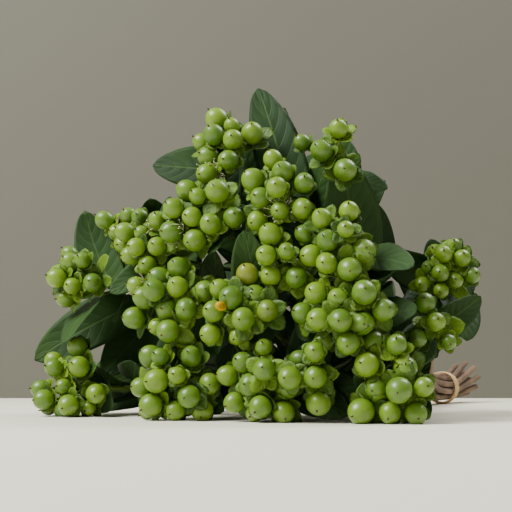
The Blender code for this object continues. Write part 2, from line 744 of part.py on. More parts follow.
def span(line, first, last, spacing):
    """Points of a line between two distances along it."""
    count = max(2, round((last - first) / spacing) + 1)
    return resample(line, np.linspace(first, last, count))


def build_stem(number, line):
    """The bare brown wood, from its cut end to where the green shoot begins."""
    end = arc_lengths(line)[-1] - SHOOT_LENGTH - JOINT_GAP
    flare = END_Y - TIE_Y + 12.0
    path = np.concatenate([span(line, 0.0, flare, STEM_SPAN / 3)[:-1], span(line, flare, end, STEM_SPAN)])
    body = make_object(f"stem_{number:02d}", tube(path, STEM_RADIUS, STEM_SIDES))
    finish(body, make_material(f"bark_{number:02d}", (0.16, 0.085, 0.04), 0.7))


def build_shoot(number, line, branch, leaves):
    """The green wood of one stem with its leaves, and its side branch if it has one."""
    length = arc_lengths(line)[-1]
    path = span(line, length - SHOOT_LENGTH, length - JOINT_GAP, SHOOT_SPAN)
    taper = np.linspace(STEM_RADIUS, SHOOT_RADIUS, len(path))
    pieces = [tube(path, taper, SHOOT_SIDES)]
    if branch is not None:
        reach = arc_lengths(branch)[-1]
        pieces.append(tube(span(branch, 0.0, reach - JOINT_GAP, SHOOT_SPAN), SHOOT_RADIUS, SHOOT_SIDES))
    pieces += [blade_mesh(leaf) for leaf in leaves]
    fuse(f"leafy_shoot_{number:02d}", pieces, make_material(f"leaf_{number:02d}", (0.035, 0.10, 0.025), 0.5))


def build_berries(index, berries, fork, axis):
    """The fork, the stalks and the berries of one spray."""
    _, points, radii, tips = berries
    stub = np.stack([fork, fork + 3.0 * axis, fork + 6.0 * axis])
    pieces = [tube(stub, SHOOT_RADIUS, SHOOT_SIDES)]
    for start, group in spray_twigs(berries, index, fork, axis):
        along = unit(start - fork)
        twig = np.stack([fork + 1.5 * axis, start + 1.0 * along])
        pieces.append(tube(twig, SHOOT_RADIUS * 0.8, TWIG_SIDES))
        for k in group:
            if k % BERRY_CYCLE in BERRIES_SKIPPED:
                continue
            pieces.append(stalked_berry(start, fork, points[k], radii[k], tips[k]))
    name = SPRAYS[index][0]
    fuse(f"berries_{name}", pieces, make_material(f"berry_{name}", (0.28, 0.42, 0.04), 0.25, 0.4))


def build_band():
    """The rubber band, wound three times round the stems, as one ring with a three-humped section."""
    along, out = np.array(BAND_SECTION).T
    rings = []
    for turn in np.arange(BAND_SEGMENTS + 1) / BAND_SEGMENTS * 2 * math.pi:
        outward = np.array([math.cos(turn), 0.0, math.sin(turn)])
        shift = np.array([0.0, BAND_SLANT * math.sin(turn + 0.8), 0.0])
        sides = (BAND_RING + out)[:, None] * outward + along[:, None] * (0.0, 1.0, 0.0)
        rings.append(TIE + shift + sides)
    count = len(BAND_SECTION)
    faces = sleeve(BAND_SEGMENTS + 1, count) % (BAND_SEGMENTS * count)
    body = make_object("tie_band", (np.concatenate(rings[:-1]), faces))
    finish(body, make_material("band", (0.45, 0.28, 0.12), 0.6))


def centre_on_origin():
    """Moves every mesh alike, so the bounding box stands on the middle of the origin."""
    corners = np.concatenate(
        [[vertex.co[:] for vertex in body.data.vertices] for body in bpy.context.scene.objects]
    )
    low, high = corners.min(axis=0), corners.max(axis=0)
    shift = -np.array([(low[0] + high[0]) / 2, (low[1] + high[1]) / 2, low[2]])
    for body in bpy.context.scene.objects:
        for vertex in body.data.vertices:
            vertex.co += type(vertex.co)(shift)


def build_bunch():
    remove_everything()
    berries = make_berries()
    lines, mains = stem_lines(berries)
    leaves = make_leaves(berries, lines, mains)
    _, axes, forks = spray_frames()
    stems = [row[1] for row in SPRAYS]
    for stem, index in mains.items():
        side = next((k for k, other in enumerate(stems) if other == stem and k != index), None)
        own = [leaf for spray, leaf in leaves if stems[spray] == stem]
        build_stem(stem, lines[index])
        build_shoot(stem, lines[index], None if side is None else lines[side], own)
    for index in range(len(SPRAYS)):
        build_berries(index, berries, forks[index], axes[index])
    build_band()
    centre_on_origin()


build_bunch()
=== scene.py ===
import math

import bpy
import mathutils
import numpy as np
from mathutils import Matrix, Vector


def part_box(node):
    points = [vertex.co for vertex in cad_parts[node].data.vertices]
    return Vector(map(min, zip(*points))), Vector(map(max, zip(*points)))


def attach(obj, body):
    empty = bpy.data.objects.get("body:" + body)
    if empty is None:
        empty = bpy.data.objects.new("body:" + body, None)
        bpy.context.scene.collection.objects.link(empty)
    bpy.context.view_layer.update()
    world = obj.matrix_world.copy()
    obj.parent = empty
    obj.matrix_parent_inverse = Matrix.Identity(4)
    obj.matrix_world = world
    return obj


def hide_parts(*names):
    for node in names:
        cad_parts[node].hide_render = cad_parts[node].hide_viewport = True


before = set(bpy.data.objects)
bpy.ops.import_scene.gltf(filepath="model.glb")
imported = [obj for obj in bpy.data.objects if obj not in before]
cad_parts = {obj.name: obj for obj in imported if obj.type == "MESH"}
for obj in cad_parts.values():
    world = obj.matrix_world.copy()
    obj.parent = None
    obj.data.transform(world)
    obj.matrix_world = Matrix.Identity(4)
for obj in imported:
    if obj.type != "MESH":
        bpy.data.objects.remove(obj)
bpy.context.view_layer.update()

# Lengths are in millimetres until a mesh is made. The stems run along +Y to their cut ends.

bunch = {
    "berryWidth": 12.5,
    "stemRadius": 2.1,
    "shootRadius": 1.3,
    "stalkRadius": 0.85,
    "shootLength": 128.0,
    "branchBack": 100.0,
    "forkDepth": 27.0,
    "jointGap": 0.3,
    "restingDent": 0.7,
    "tieX": -12.0,
    "tieY": 395.0,
    "endY": 455.0,
    "stemPitch": 4.8,
    "bandRadius": 0.9,
    "headReach": 385.0,
    "endSplay": 1.55,
    "endLift": 7.0,
    "endTwist": math.radians(24),
}

# One row a spray: name, stem, across, up, set back, berries, spread radius, berry scale
sprays = (
    ("apex", 1, -29, 151, 5, 9, 20, 1.0),
    ("crown", 2, 10, 121, 0, 9, 21, 1.0),
    ("crown_side", 2, 35, 146, 8, 4, 20, 1.0),
    ("shoulder_right", 3, 46, 92, 0, 9, 21, 1.0),
    ("shoulder_right_side", 3, 14, 84, 2, 5, 15, 0.96),
    ("shoulder_left", 4, -34, 112, 0, 9, 20, 1.0),
    ("shoulder_left_side", 4, -70, 96, 5, 8, 19, 0.95),
    ("far_left", 5, -132, 82, 10, 8, 17, 0.95),
    ("far_left_side", 5, -100, 108, 20, 5, 16, 0.9),
    ("low_left", 6, -130, 16, 5, 12, 26, 0.96),
    ("middle_left", 7, -53, 64, 0, 12, 23, 0.98),
    ("low_middle_left", 8, -46, 20, 0, 13, 25, 1.02),
    ("low_middle", 9, 8, 20, 0, 11, 24, 1.0),
    ("centre", 9, -6, 58, 0, 9, 20, 0.98),
    ("middle_right", 10, 53, 55, 0, 12, 23, 1.03),
    ("low_right", 11, 75, 19, 4, 9, 21, 1.06),
    ("low_right_side", 11, 84, 50, 34, 4, 15, 0.9),
    ("far_right", 12, 81, 82, 70, 10, 15, 0.8),
    ("low_centre", 10, 34, 25, 2, 4, 17, 1.0),
)
stemOf = [row[1] for row in sprays]
goldenAngle = math.radians(137.508)
# how berries fill a spray's dome and move apart, and how far a tip leans outward
settling = {"dome": 46.0, "depth": (-4.5, 2.5), "gapOther": 2.0, "gapOwn": 0.9, "push": 0.35, "return": 0.02,
            "rounds": 260, "outward": 0.75, "axial": 0.45, "scatter": 0.16, "sizes": (0.86, 1.04)}


def unit(vector):
    return vector / np.linalg.norm(vector, axis=-1, keepdims=True)


def sideAxes(direction):
    # two unit vectors square to direction, the first as level as it can be
    level = unit(np.cross(direction, (0.0, 0.0, 1.0)))
    return level, np.cross(level, direction)


def around(level, rise, angle):
    # the unit vector at that angle from level towards rise
    return math.cos(angle) * level + math.sin(angle) * rise


def squareDistances(points, others):
    # squared distance from every point to every other, by the expanded square
    squares = (points**2).sum(axis=1)[:, None] + (others**2).sum(axis=1)[None]
    return np.clip(squares - 2 * points @ others.T, 0.0, None)


def hermite(start, leave, end, arrive, count):
    # the cubic from start to end with those end tangents
    t = np.linspace(0.0, 1.0, count)[:, None]
    return (
        (2 * t**3 - 3 * t**2 + 1) * start
        + (t**3 - 2 * t**2 + t) * leave
        + (3 * t**2 - 2 * t**3) * end
        + (t**3 - t**2) * arrive
    )


def arcLengths(path):
    steps = np.linalg.norm(np.diff(path, axis=0), axis=1)
    return np.concatenate([[0.0], np.cumsum(steps)])


def resample(path, distances):
    along = arcLengths(path)
    return np.stack([np.interp(distances, along, path[:, axis]) for axis in range(3)], axis=1)


innerRing = bunch["stemPitch"] / (2 * math.sin(math.pi / 3))
outerRing = innerRing + bunch["stemPitch"]
bandRing = outerRing + bunch["stemRadius"] + 2 * bunch["jointGap"] + bunch["bandRadius"]
tieZ = bandRing + bunch["bandRadius"]
tie = np.array([bunch["tieX"], bunch["tieY"], tieZ])
# where the stems sit inside the tie, in degrees round it, seen from the heads
innerPlaces = {7: 200, 4: 80, 9: 320}
outerPlaces = {1: 100, 2: 60, 3: 20, 12: -20, 10: -60, 11: -100, 8: -140, 6: 180, 5: 140}


def bundlePoint(stem, scale, turn):
    inner = stem in innerPlaces
    angle = math.radians((innerPlaces if inner else outerPlaces)[stem]) + turn
    ring = (innerRing if inner else outerRing) * scale
    return np.array([ring * math.cos(angle), 0.0, ring * math.sin(angle)])


def sprayFrames():
    # the middle, outward axis and fork of every spray; the middles lie on a sphere about the tie
    across = np.array([row[2] for row in sprays], float)
    up = np.array([row[3] for row in sprays], float)
    reach = bunch["headReach"] - np.array([row[4] for row in sprays], float)
    forward = np.sqrt(reach**2 - across**2 - (up - tieZ) ** 2)
    centres = np.stack([across, bunch["tieY"] - forward, up], axis=1)
    axes = unit(centres - tie)
    return centres, axes, centres - axes * bunch["forkDepth"]


def domeBerries(rng, centre, axis, count, spread):
    # a sunflower of points on a shallow dome, with a seeded scatter in depth
    level, rise = sideAxes(axis)
    k = np.arange(count)
    radius = spread * np.sqrt((k + 0.35) / count)
    angle = k * goldenAngle + rng.uniform(0, 2 * math.pi)
    depth = -(radius**2) / settling["dome"] + rng.uniform(*settling["depth"], count)
    return (
        centre
        + depth[:, None] * axis
        + (radius * np.cos(angle))[:, None] * level
        + (radius * np.sin(angle))[:, None] * rise
    )


def pushApart(points, radii, spray):
    # berries move apart until none touch, while each is drawn back to where it began
    home = points.copy()
    other = spray[:, None] != spray[None, :]
    need = radii[:, None] + radii[None, :] + np.where(other, settling["gapOther"], settling["gapOwn"])
    np.fill_diagonal(need, 0.0)
    for _ in range(settling["rounds"]):
        apart = points[:, None] - points[None]
        distance = np.linalg.norm(apart, axis=2) + 1e-9
        short = np.clip(need - distance, 0.0, None)
        points = points + settling["push"] * (apart * (short / distance)[:, :, None]).sum(axis=1)
        points = points + settling["return"] * (home - points) * (short.max(axis=1) < 0.3)[:, None]
        points[:, 2] = np.maximum(points[:, 2], radii - bunch["restingDent"])
    return points


def makeBerries():
    # one row a berry: spray, centre, radius, and the unit vector from its base to its tip
    rng = np.random.default_rng(11)
    centres, axes, forks = sprayFrames()
    spray, points, radii = [], [], []
    for index, row in enumerate(sprays):
        count = row[5]
        points.append(domeBerries(rng, centres[index], axes[index], count, row[6]))
        radii.append(bunch["berryWidth"] / 2 * row[7] * rng.uniform(*settling["sizes"], count))
        spray += [index] * count
    spray = np.array(spray)
    points, radii = np.concatenate(points), np.concatenate(radii)
    points = pushApart(points, radii, spray)
    outward = unit(points - forks[spray])
    scatter = rng.uniform(-settling["scatter"], settling["scatter"], (len(points), 3))
    tips = unit(outward * settling["outward"] + axes[spray] * settling["axial"] + scatter)
    return spray, points, radii, tips


wood = {"tailPoints": 9, "headPoints": 116, "sidePoints": 30, "clearance": 0.9, "ballClearance": 1.2,
        "push": 0.35, "gain": 1.6, "rounds": 60, "smooth": 4, "tailPull": 62.0, "headPull": (300.0, 330.0)}


def stemPath(stem, fork, axis):
    # the line of a whole stem, from its cut end to the fork
    middle = tie + bundlePoint(stem, 1.0, 0.0)
    end = tie + bundlePoint(stem, bunch["endSplay"], bunch["endTwist"])
    end = end + np.array([0.0, bunch["endY"] - bunch["tieY"], bunch["endLift"]])
    forward = np.array([0.0, -1.0, 0.0])
    tail = hermite(end, middle - end, middle, forward * wood["tailPull"], wood["tailPoints"])
    leave, arrive = wood["headPull"]
    head = hermite(middle, forward * leave, fork, axis * arrive, wood["headPoints"])
    return np.concatenate([tail[:-1], head])


def easeApart(paths, free, radii, owners, balls, ballRadii, allowed):
    # lines move sideways where they pass too close to one another or to a ball not their own
    sizes = [len(path) for path in paths]
    edges = np.cumsum([0] + sizes)
    points = np.concatenate(paths)
    weight = np.concatenate(free)[:, None]
    radius = np.repeat(radii, sizes)
    owner = np.repeat(owners, sizes)
    line = np.repeat(np.arange(len(paths)), sizes)
    need = radius[:, None] + radius[None] + wood["clearance"]
    need[owner[:, None] == owner[None]] = 0.0
    ballNeed = radius[:, None] + ballRadii[None] + wood["ballClearance"]
    ballNeed[~allowed[line]] = 0.0
    window = 2 * wood["smooth"] + 1
    for _ in range(wood["rounds"]):
        push = np.zeros_like(points)
        for others, reach in ((points, need), (balls, ballNeed)):
            close, by = np.nonzero(squareDistances(points, others) < reach**2)
            apart = points[close] - others[by]
            distance = np.linalg.norm(apart, axis=1, keepdims=True) + 1e-9
            np.add.at(push, close, wood["push"] * apart * (reach[close, by][:, None] / distance - 1))
        for first, last in zip(edges[:-1], edges[1:]):
            for axis in range(3):
                column = np.pad(push[first:last, axis], wood["smooth"], mode="edge")
                push[first:last, axis] = np.convolve(column, np.ones(window) / window, mode="valid")
        points = points + np.clip(push * wood["gain"], -1.0, 1.0) * weight
        points[:, 2] = np.maximum(points[:, 2], radius + 1.2)
    return [points[first:last] for first, last in zip(edges[:-1], edges[1:])]


def stemLines(berries):
    # the line to each spray's fork: a whole stem for its first spray, a branch for its second
    spray, points, radii, _ = berries
    _, axes, forks = sprayFrames()
    lines = []
    mains = {}
    for index, row in enumerate(sprays):
        stem = row[1]
        if stem not in mains:
            mains[stem] = index
            lines.append(stemPath(stem, forks[index], axes[index]))
            continue
        main = lines[mains[stem]]
        back = arcLengths(main)[-1] - bunch["branchBack"]
        root = resample(main, np.array([back, back + 4.0]))
        leave = unit(root[1] - root[0])
        reach = np.linalg.norm(forks[index] - root[0])
        branch = hermite(root[0], leave * reach, forks[index], axes[index] * reach, wood["sidePoints"])
        lines.append(branch)
    isMain = np.array([index in mains.values() for index in range(len(sprays))])
    free = []
    for path, main in zip(lines, isMain):
        held = wood["tailPoints"] + 3 if main else 1
        k = np.arange(len(path))
        free.append(np.clip((k - held) / 8.0, 0.0, 1.0) * np.clip((len(path) - 1 - k) / 6.0, 0.0, 1.0))
    lineRadii = np.where(isMain, bunch["stemRadius"], bunch["shootRadius"])
    owners = np.array([row[1] for row in sprays])
    allowed = np.arange(len(sprays))[:, None] != spray[None]
    lines = easeApart(lines, free, lineRadii, owners, points, radii, allowed)
    for index in np.flatnonzero(~isMain):
        main = lines[mains[owners[index]]]
        nearest = np.linalg.norm(main - lines[index][0], axis=1).argmin()
        lines[index][0] = main[nearest]
    return lines, mains


def sprayTwigs(berries, index, fork, axis):
    # where each twig of a spray divides, and the berries that it carries
    spray, points, _, _ = berries
    own = np.flatnonzero(spray == index)
    level, rise = sideAxes(axis)
    away = points[own] - fork
    order = np.argsort(np.arctan2(away @ rise, away @ level))
    groups = np.array_split(own[order], max(1, round(len(own) / 3)))
    return [(fork + 0.45 * (points[group].mean(axis=0) - fork), group) for group in groups]


def stalkLine(start, fork, centre, radius, tip, count):
    # from where its twig divides to inside the berry's base
    base = centre - tip * radius * 0.9
    reach = np.linalg.norm(base - start)
    return hermite(start, unit(start - fork) * reach, base, tip * reach, count)


# The leaves that show most: spray, back from the fork, tip, half width, facing, arch
greatLeaves = (
    (1, 16, (-22, 80, 185), 14, (0.45, -0.88, 0.1), 0.06),
    (3, 38, (35, 60, 150), 18.5, (0.45, -0.85, 0.2), 0.08),
    (3, 12, (88, 53, 81), 12, (0.35, -0.7, 0.6), 0.10),
    (0, 12, (-79, 61, 142), 14, (0.3, -0.9, 0.3), 0.05),
    (8, 12, (-97, 77, 129), 11, (0.4, -0.85, 0.2), 0.05),
    (7, 12, (-141, 82, 129), 14, (0.75, -0.6, -0.1), -0.10),
    (7, 38, (-164, 72, 32), 15, (0.35, -0.9, 0.2), 0.12),
    (7, 56, (-114, 74, 34), 15, (0.45, -0.8, 0.3), 0.12),
    (6, 3, (-82, 24, 76), 9, (0.3, -0.85, 0.3), 0.05),
    (17, 6, (90, 107, 42), 13, (0.7, -0.6, 0.4), 0.12),
    (17, 6, (64, 126, 100), 8, (0.3, -0.9, 0.1), 0.05),
    (12, 12, (52, 22, 17), 13, (0.5, -0.85, 0.05), 0.05),
    (16, 6, (84, 52, 14), 11, (0.6, -0.7, 0.2), 0.10),
    (12, 3, (37, 22, 55), 9, (-0.6, -0.3, 0.7), 0.05),
    (13, 12, (-5, 25, 96), 12, (0.3, -0.9, 0.2), 0.08),
)
# Where the bunch is seen from, how far that line of sight is turned, and the outline that its leaves
# keep within there, as slopes across and up
outlineRule = {
    "from": (301.2, -632.0, 28.5),
    "turn": math.radians(24.5),
    "hidden": 0.85,
    "slopes": (
        (-0.166, -0.044), (-0.167, -0.001), (-0.159, 0.01), (-0.159, 0.036), (-0.152, 0.047),
        (-0.153, 0.077), (-0.146, 0.09), (-0.135, 0.1), (-0.131, 0.122), (-0.122, 0.123),
        (-0.109, 0.103), (-0.096, 0.115), (-0.076, 0.122), (-0.078, 0.146), (-0.056, 0.161),
        (-0.051, 0.17), (-0.032, 0.18), (-0.014, 0.192), (-0.007, 0.202), (0.004, 0.205),
        (0.023, 0.196), (0.036, 0.186), (0.042, 0.173), (0.052, 0.183), (0.069, 0.177), (0.084, 0.168),
        (0.088, 0.155), (0.095, 0.13), (0.099, 0.103), (0.106, 0.086), (0.121, 0.093), (0.136, 0.097),
        (0.151, 0.089), (0.16, 0.074), (0.164, 0.053), (0.163, 0.02), (0.155, 0.011), (0.134, 0.01),
        (0.128, 0.003), (0.126, -0.027), (0.123, -0.044),
    ),
}
leafRule = {
    "pairs": ((12.0, 36.0), (40.0, 52.0), (68.0, 56.0)),  # back from the fork, and leaf length
    "sidePairs": ((12.0, 34.0),),
    "aspect": 0.26,
    "leastStep": 10.0,
    "rootOffset": 0.6,
    "margin": 1.5,
    "sample": 3.3,
    "fold": 0.12,
    "turns": (0, 10, -10, 20, -20, 32, -32, 45, -45),
    "scales": (1.0, 0.86, 0.72, 0.6),
    "fewTurns": (0, 17, -17, 36, -36),
    "fewScales": (1.0, 0.8, 0.64),
    "leafClearance": 2.7,
    "rootRoom": 6.0,
    "tableClearance": 1.2,
}


def bladeOutline(s):
    # half width along a leaf as a share of its widest, drawn in at the root and blunt at the tip
    body = s**0.45 * (1 - s) ** 0.62
    widest = 0.42**0.45 * 0.58**0.62
    return 0.05 * (1 - s) + 0.03 + 0.94 * body / widest


def bladeGrid(leaf, rows, columns):
    # points and normals of a leaf's middle surface: the rib is a parabola over the chord, and the
    # margins rise a little on both sides of it
    root, tip, facing, halfWidth, arch = leaf
    chord = tip - root
    length = np.linalg.norm(chord)
    along = chord / length
    rise = unit(facing - (facing @ along) * along)
    s = np.linspace(0.0, 1.0, rows)[:, None]
    rib = root + s * chord + 4 * arch * length * s * (1 - s) * rise
    heading = unit(along + 4 * arch * (1 - 2 * s) * rise)
    across = unit(np.cross(heading, rise))
    normal = np.cross(across, heading)
    t = np.linspace(-1.0, 1.0, columns)[None, :, None]
    width = halfWidth * bladeOutline(s)
    lift = leafRule["fold"] * (width * normal)[:, None] * (np.abs(t) - 1.0)
    grid = rib[:, None] + (width * across)[:, None] * t + lift
    return grid, np.repeat(normal[:, None], columns, axis=1)


def turned(vector, axis, degrees):
    angle = math.radians(degrees)
    along = (axis @ vector) * axis
    return along + (vector - along) * math.cos(angle) + np.cross(axis, vector) * math.sin(angle)


def bladeSamples(leaf):
    # how many rows and columns test a leaf closely enough
    rows = max(5, round(np.linalg.norm(leaf[1] - leaf[0]) / leafRule["sample"]))
    return rows, max(3, round(2 * leaf[3] / leafRule["sample"]) | 1)


def seen(points):
    # points as slopes across and up and distances ahead, from the front and slightly to one side
    away = points - outlineRule["from"]
    turn = outlineRule["turn"]
    ahead = away @ (-math.sin(turn), math.cos(turn), 0.0)
    across = away @ (math.cos(turn), math.sin(turn), 0.0)
    return np.stack([across, away[:, 2]], axis=1) / ahead[:, None], ahead


def hidesBerry(slopes, ahead):
    # whether any of these seen points lies in front of a berry's middle
    places, depths = seen(berries[1])
    wide = outlineRule["hidden"] * berries[2] / depths
    return ((squareDistances(slopes, places) < wide**2) & (ahead[:, None] < depths)).any()


def insideOutline(slopes):
    # whether seen points all lie within the bunch's outline
    across, up = slopes.T
    first = np.array(outlineRule["slopes"])
    after = np.roll(first, -1, axis=0)
    crosses = (first[:, 1] > up[:, None]) != (after[:, 1] > up[:, None])
    slope = (after[:, 0] - first[:, 0]) / (after[:, 1] - first[:, 1] + 1e-12)
    beyond = across[:, None] < first[:, 0] + slope * (up[:, None] - first[:, 1])
    return ((crosses & beyond).sum(axis=1) % 2 == 1).all()


def fitLeaf(leaf, balls, few):
    # the first of a list of turned and shortened copies of a leaf that misses everything, or None
    root, tip, facing, halfWidth, arch = leaf
    points, radii, owners = balls
    reach = np.linalg.norm(tip - root) * 1.15
    distance = np.linalg.norm(points - root, axis=1)
    near = (distance < reach + radii) & (distance > owners)
    points, radii = points[near], radii[near]
    choices, scales = (leafRule[key] for key in (("fewTurns", "fewScales") if few else ("turns", "scales")))
    turns = sorted(((a, b) for a in choices for b in choices), key=lambda pair: math.hypot(*pair))
    for scale in scales:
        for swing, lift in turns:
            chord = (tip - root) * scale
            across = unit(np.cross(chord, facing))
            chord = turned(turned(chord, across, lift), facing, swing)
            trial = (root, root + chord, turned(facing, across, lift), halfWidth * scale, arch)
            cloud = bladeGrid(trial, *bladeSamples(trial))[0].reshape(-1, 3)
            slopes, ahead = seen(cloud)
            low = cloud[:, 2].min() < leafRule["tableClearance"]
            if low or not insideOutline(slopes) or hidesBerry(slopes, ahead):
                continue
            # a few of its points first, which is quick, and then all
            if all((squareDistances(some, points) > radii**2).all() for some in (cloud[::6], cloud)):
                return trial
    return None


def firstBalls(berries, lines, mains):
    # balls that a leaf has to miss: centre, radius, and how near its own root one is left out
    _, points, radii, tips = berries
    _, axes, forks = sprayFrames()
    centres, sizes, skips = [points], [radii * 1.06 + leafRule["margin"]], [np.zeros(len(points))]
    for index, line in enumerate(lines):
        main = index in mains.values()
        count = int(arcLengths(line)[-1] / 2.5)
        centres.append(resample(line, np.linspace(0.0, arcLengths(line)[-1], count)))
        radius = bunch["stemRadius"] if main else bunch["shootRadius"]
        sizes.append(np.full(count, radius + leafRule["margin"] - 0.4))
        skips.append(np.full(count, 8.0))
        for start, group in sprayTwigs(berries, index, forks[index], axes[index]):
            parts = [np.linspace(forks[index], start, 6)]
            for k in group:
                parts.append(stalkLine(start, forks[index], points[k], radii[k], tips[k], 7))
            twigs = np.concatenate(parts)
            centres.append(twigs)
            sizes.append(np.full(len(twigs), bunch["stalkRadius"] + leafRule["margin"]))
            skips.append(np.full(len(twigs), 5.0))
    return [np.concatenate(values) for values in (centres, sizes, skips)]


def rootAndHeading(line, back):
    length = arcLengths(line)[-1]
    pair = resample(line, np.array([length - back, length - back + 2.0]))
    return pair[0], unit(pair[1] - pair[0])


def placeLeaf(leaves, balls, index, leaf, few=False):
    fitted = fitLeaf(leaf, balls, few)
    if fitted is None:
        return
    leaves.append((index, fitted))
    cloud = bladeGrid(fitted, *bladeSamples(fitted))[0].reshape(-1, 3)
    balls[0] = np.concatenate([balls[0], cloud])
    balls[1] = np.concatenate([balls[1], np.full(len(cloud), leafRule["leafClearance"])])
    balls[2] = np.concatenate([balls[2], np.full(len(cloud), leafRule["rootRoom"])])


def spreadLeaf(start, root, heading, side, tilt, length, aspect, arch=0.09):
    # a leaf from start whose tip is length away from root, tilted from heading towards side
    tip = root + length * (math.cos(tilt) * heading + math.sin(tilt) * side)
    facing = math.sin(tilt) * heading - math.cos(tilt) * side
    return start, tip, facing, aspect * length, arch


def makeLeaves(balls, lines, mains):
    # every leaf as (spray, (root, tip, facing, half width, arch)): the great ones, then pairs by rule
    rng = np.random.default_rng(29)
    leaves = []
    levels = {index: [] for index in range(len(sprays))}
    for index, back, tip, halfWidth, facing, arch in greatLeaves:
        root, heading = rootAndHeading(lines[index], back)
        tip, facing = np.array(tip, float), unit(np.array(facing, float))
        side = (tip - root) - ((tip - root) @ heading) * heading
        leaf = (root + leafRule["rootOffset"] * unit(side), tip, facing, halfWidth, arch)
        placeLeaf(leaves, balls, index, leaf)
        levels[index].append((float(back), np.linalg.norm(tip - root), -unit(side)))
    for level in range(len(leafRule["pairs"])):
        for index in range(len(sprays)):
            pairs = leafRule["pairs"] if index in mains.values() else leafRule["sidePairs"]
            if level >= len(pairs):
                continue
            back, length = pairs[level]
            stretch = rng.uniform(0.88, 1.08, 2)
            nearest = min((abs(back - other) for other, _, _ in levels[index]), default=99)
            if nearest < leafRule["leastStep"]:
                continue
            _, heading = rootAndHeading(lines[index], back)
            across, rise = sideAxes(heading)
            turn = math.radians(90 * level + 40 + rng.uniform(-20, 20))
            side = around(across, rise, turn)
            levels[index].append((back, length * stretch[0], side))
            levels[index].append((back, length * stretch[1], -side))
    for index in range(len(sprays)):
        for back, length, side in levels[index]:
            root, heading = rootAndHeading(lines[index], back)
            outward = unit((root - tie) * (1.0, 0.0, 1.0))
            tilt = math.radians(38 + 14 * max(0.0, side @ outward))
            root = root + leafRule["rootOffset"] * side
            leaf = spreadLeaf(root, root, heading, side, tilt, length, leafRule["aspect"])
            placeLeaf(leaves, balls, index, leaf)
    return leaves


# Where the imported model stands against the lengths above: the tie band shows the move

print("laying out the bunch")
low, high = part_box("tie_band")
shift = (np.array(low) + np.array(high)) * 500.0 - tie
berries = makeBerries()
lines, mains = stemLines(berries)
balls = firstBalls(berries, lines, mains)
leaves = makeLeaves(balls, lines, mains)
_, axes, forks = sprayFrames()
spray, centres, radii, tips = berries
print(len(centres), "berries and", len(leaves), "leaves")
# the solids keep five berries of every nine; the others vary more in size here
sizeRule = {"cycle": 9, "left": (1, 3, 5, 7), "least": 0.76}
leftOut = np.isin(np.arange(len(radii)) % sizeRule["cycle"], sizeRule["left"])
radii = radii * np.where(leftOut, np.random.default_rng(47).uniform(sizeRule["least"], 1.0, len(radii)), 1.0)

# Meshes: a part is points, four-sided faces, three-sided faces and named values at the points


def gridFaces(rows, columns, wrap=False):
    place = np.arange(rows * columns).reshape(rows, columns)
    if wrap:
        place = np.concatenate([place, place[:, :1]], axis=1)
    corners = (place[:-1, :-1], place[:-1, 1:], place[1:, 1:], place[1:, :-1])
    return np.stack(corners, axis=-1).reshape(-1, 4)


def fanFaces(rim, centre):
    return np.stack([np.full(len(rim), centre), rim, np.roll(rim, -1)], axis=1)


noTriangles = np.zeros((0, 3), int)


def closedFaces(rings, sides):
    # the faces of a closed form whose points are its rings and then its two end points
    first = fanFaces(np.arange(sides), rings * sides)
    last = fanFaces((rings - 1) * sides + np.arange(sides), rings * sides + 1)[:, ::-1]
    return gridFaces(rings, sides, wrap=True)[:, ::-1], np.concatenate([first, last])


def joinParts(parts):
    points, quads, triangles, values = [], [], [], {}
    count = 0
    for part in parts:
        points.append(part[0])
        quads.append(part[1] + count)
        triangles.append(part[2] + count)
        for key, value in part[3].items():
            values.setdefault(key, []).append(np.broadcast_to(value, len(part[0])))
        count += len(part[0])
    values = {key: np.concatenate(value) for key, value in values.items()}
    return np.concatenate(points), np.concatenate(quads), np.concatenate(triangles), values


def repeatPart(points, quads, triangles, values):
    # many copies of one topology: points and values have the copy as their first axis
    copies, count = points.shape[:2]
    step = np.arange(copies)[:, None, None] * count
    values = {key: np.broadcast_to(value, (copies, count)).reshape(-1) for key, value in values.items()}
    moved = [(quads[None] + step).reshape(-1, 4), (triangles[None] + step).reshape(-1, 3)]
    return points.reshape(-1, 3), moved[0], moved[1], values


def signedVolume(points, quads, triangles):
    faces = np.concatenate([triangles, quads[:, [0, 1, 2]], quads[:, [0, 2, 3]]])
    a, b, c = (points[faces[:, k]] - points.mean(axis=0) for k in range(3))
    return (a * np.cross(b, c)).sum() / 6


def makePiece(name, part, material, nodes=()):
    points, quads, triangles, values = part
    if signedVolume(points, quads, triangles) < 0:
        quads, triangles = quads[:, ::-1], triangles[:, ::-1]
    points = points + shift
    points[:, 2] = np.maximum(points[:, 2], 0.03)
    mesh = bpy.data.meshes.new(name)
    mesh.vertices.add(len(points))
    mesh.vertices.foreach_set("co", (points * 0.001).ravel())
    loops = np.concatenate([quads.ravel(), triangles.ravel()])
    mesh.loops.add(len(loops))
    mesh.loops.foreach_set("vertex_index", loops)
    starts = np.concatenate([np.arange(len(quads)) * 4, quads.size + np.arange(len(triangles)) * 3])
    mesh.polygons.add(len(starts))
    mesh.polygons.foreach_set("loop_start", starts)
    mesh.update(calc_edges=True)
    for key, value in values.items():
        layer = mesh.attributes.new(key, "FLOAT", "POINT")
        value = np.broadcast_to(value, len(points))
        layer.data.foreach_set("value", np.ascontiguousarray(value, np.float32))
    mesh.shade_smooth()
    mesh.materials.append(material)
    piece = bpy.data.objects.new(name, mesh)
    bpy.context.scene.collection.objects.link(piece)
    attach(piece, "root")
    if nodes:
        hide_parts(*nodes)
    return piece


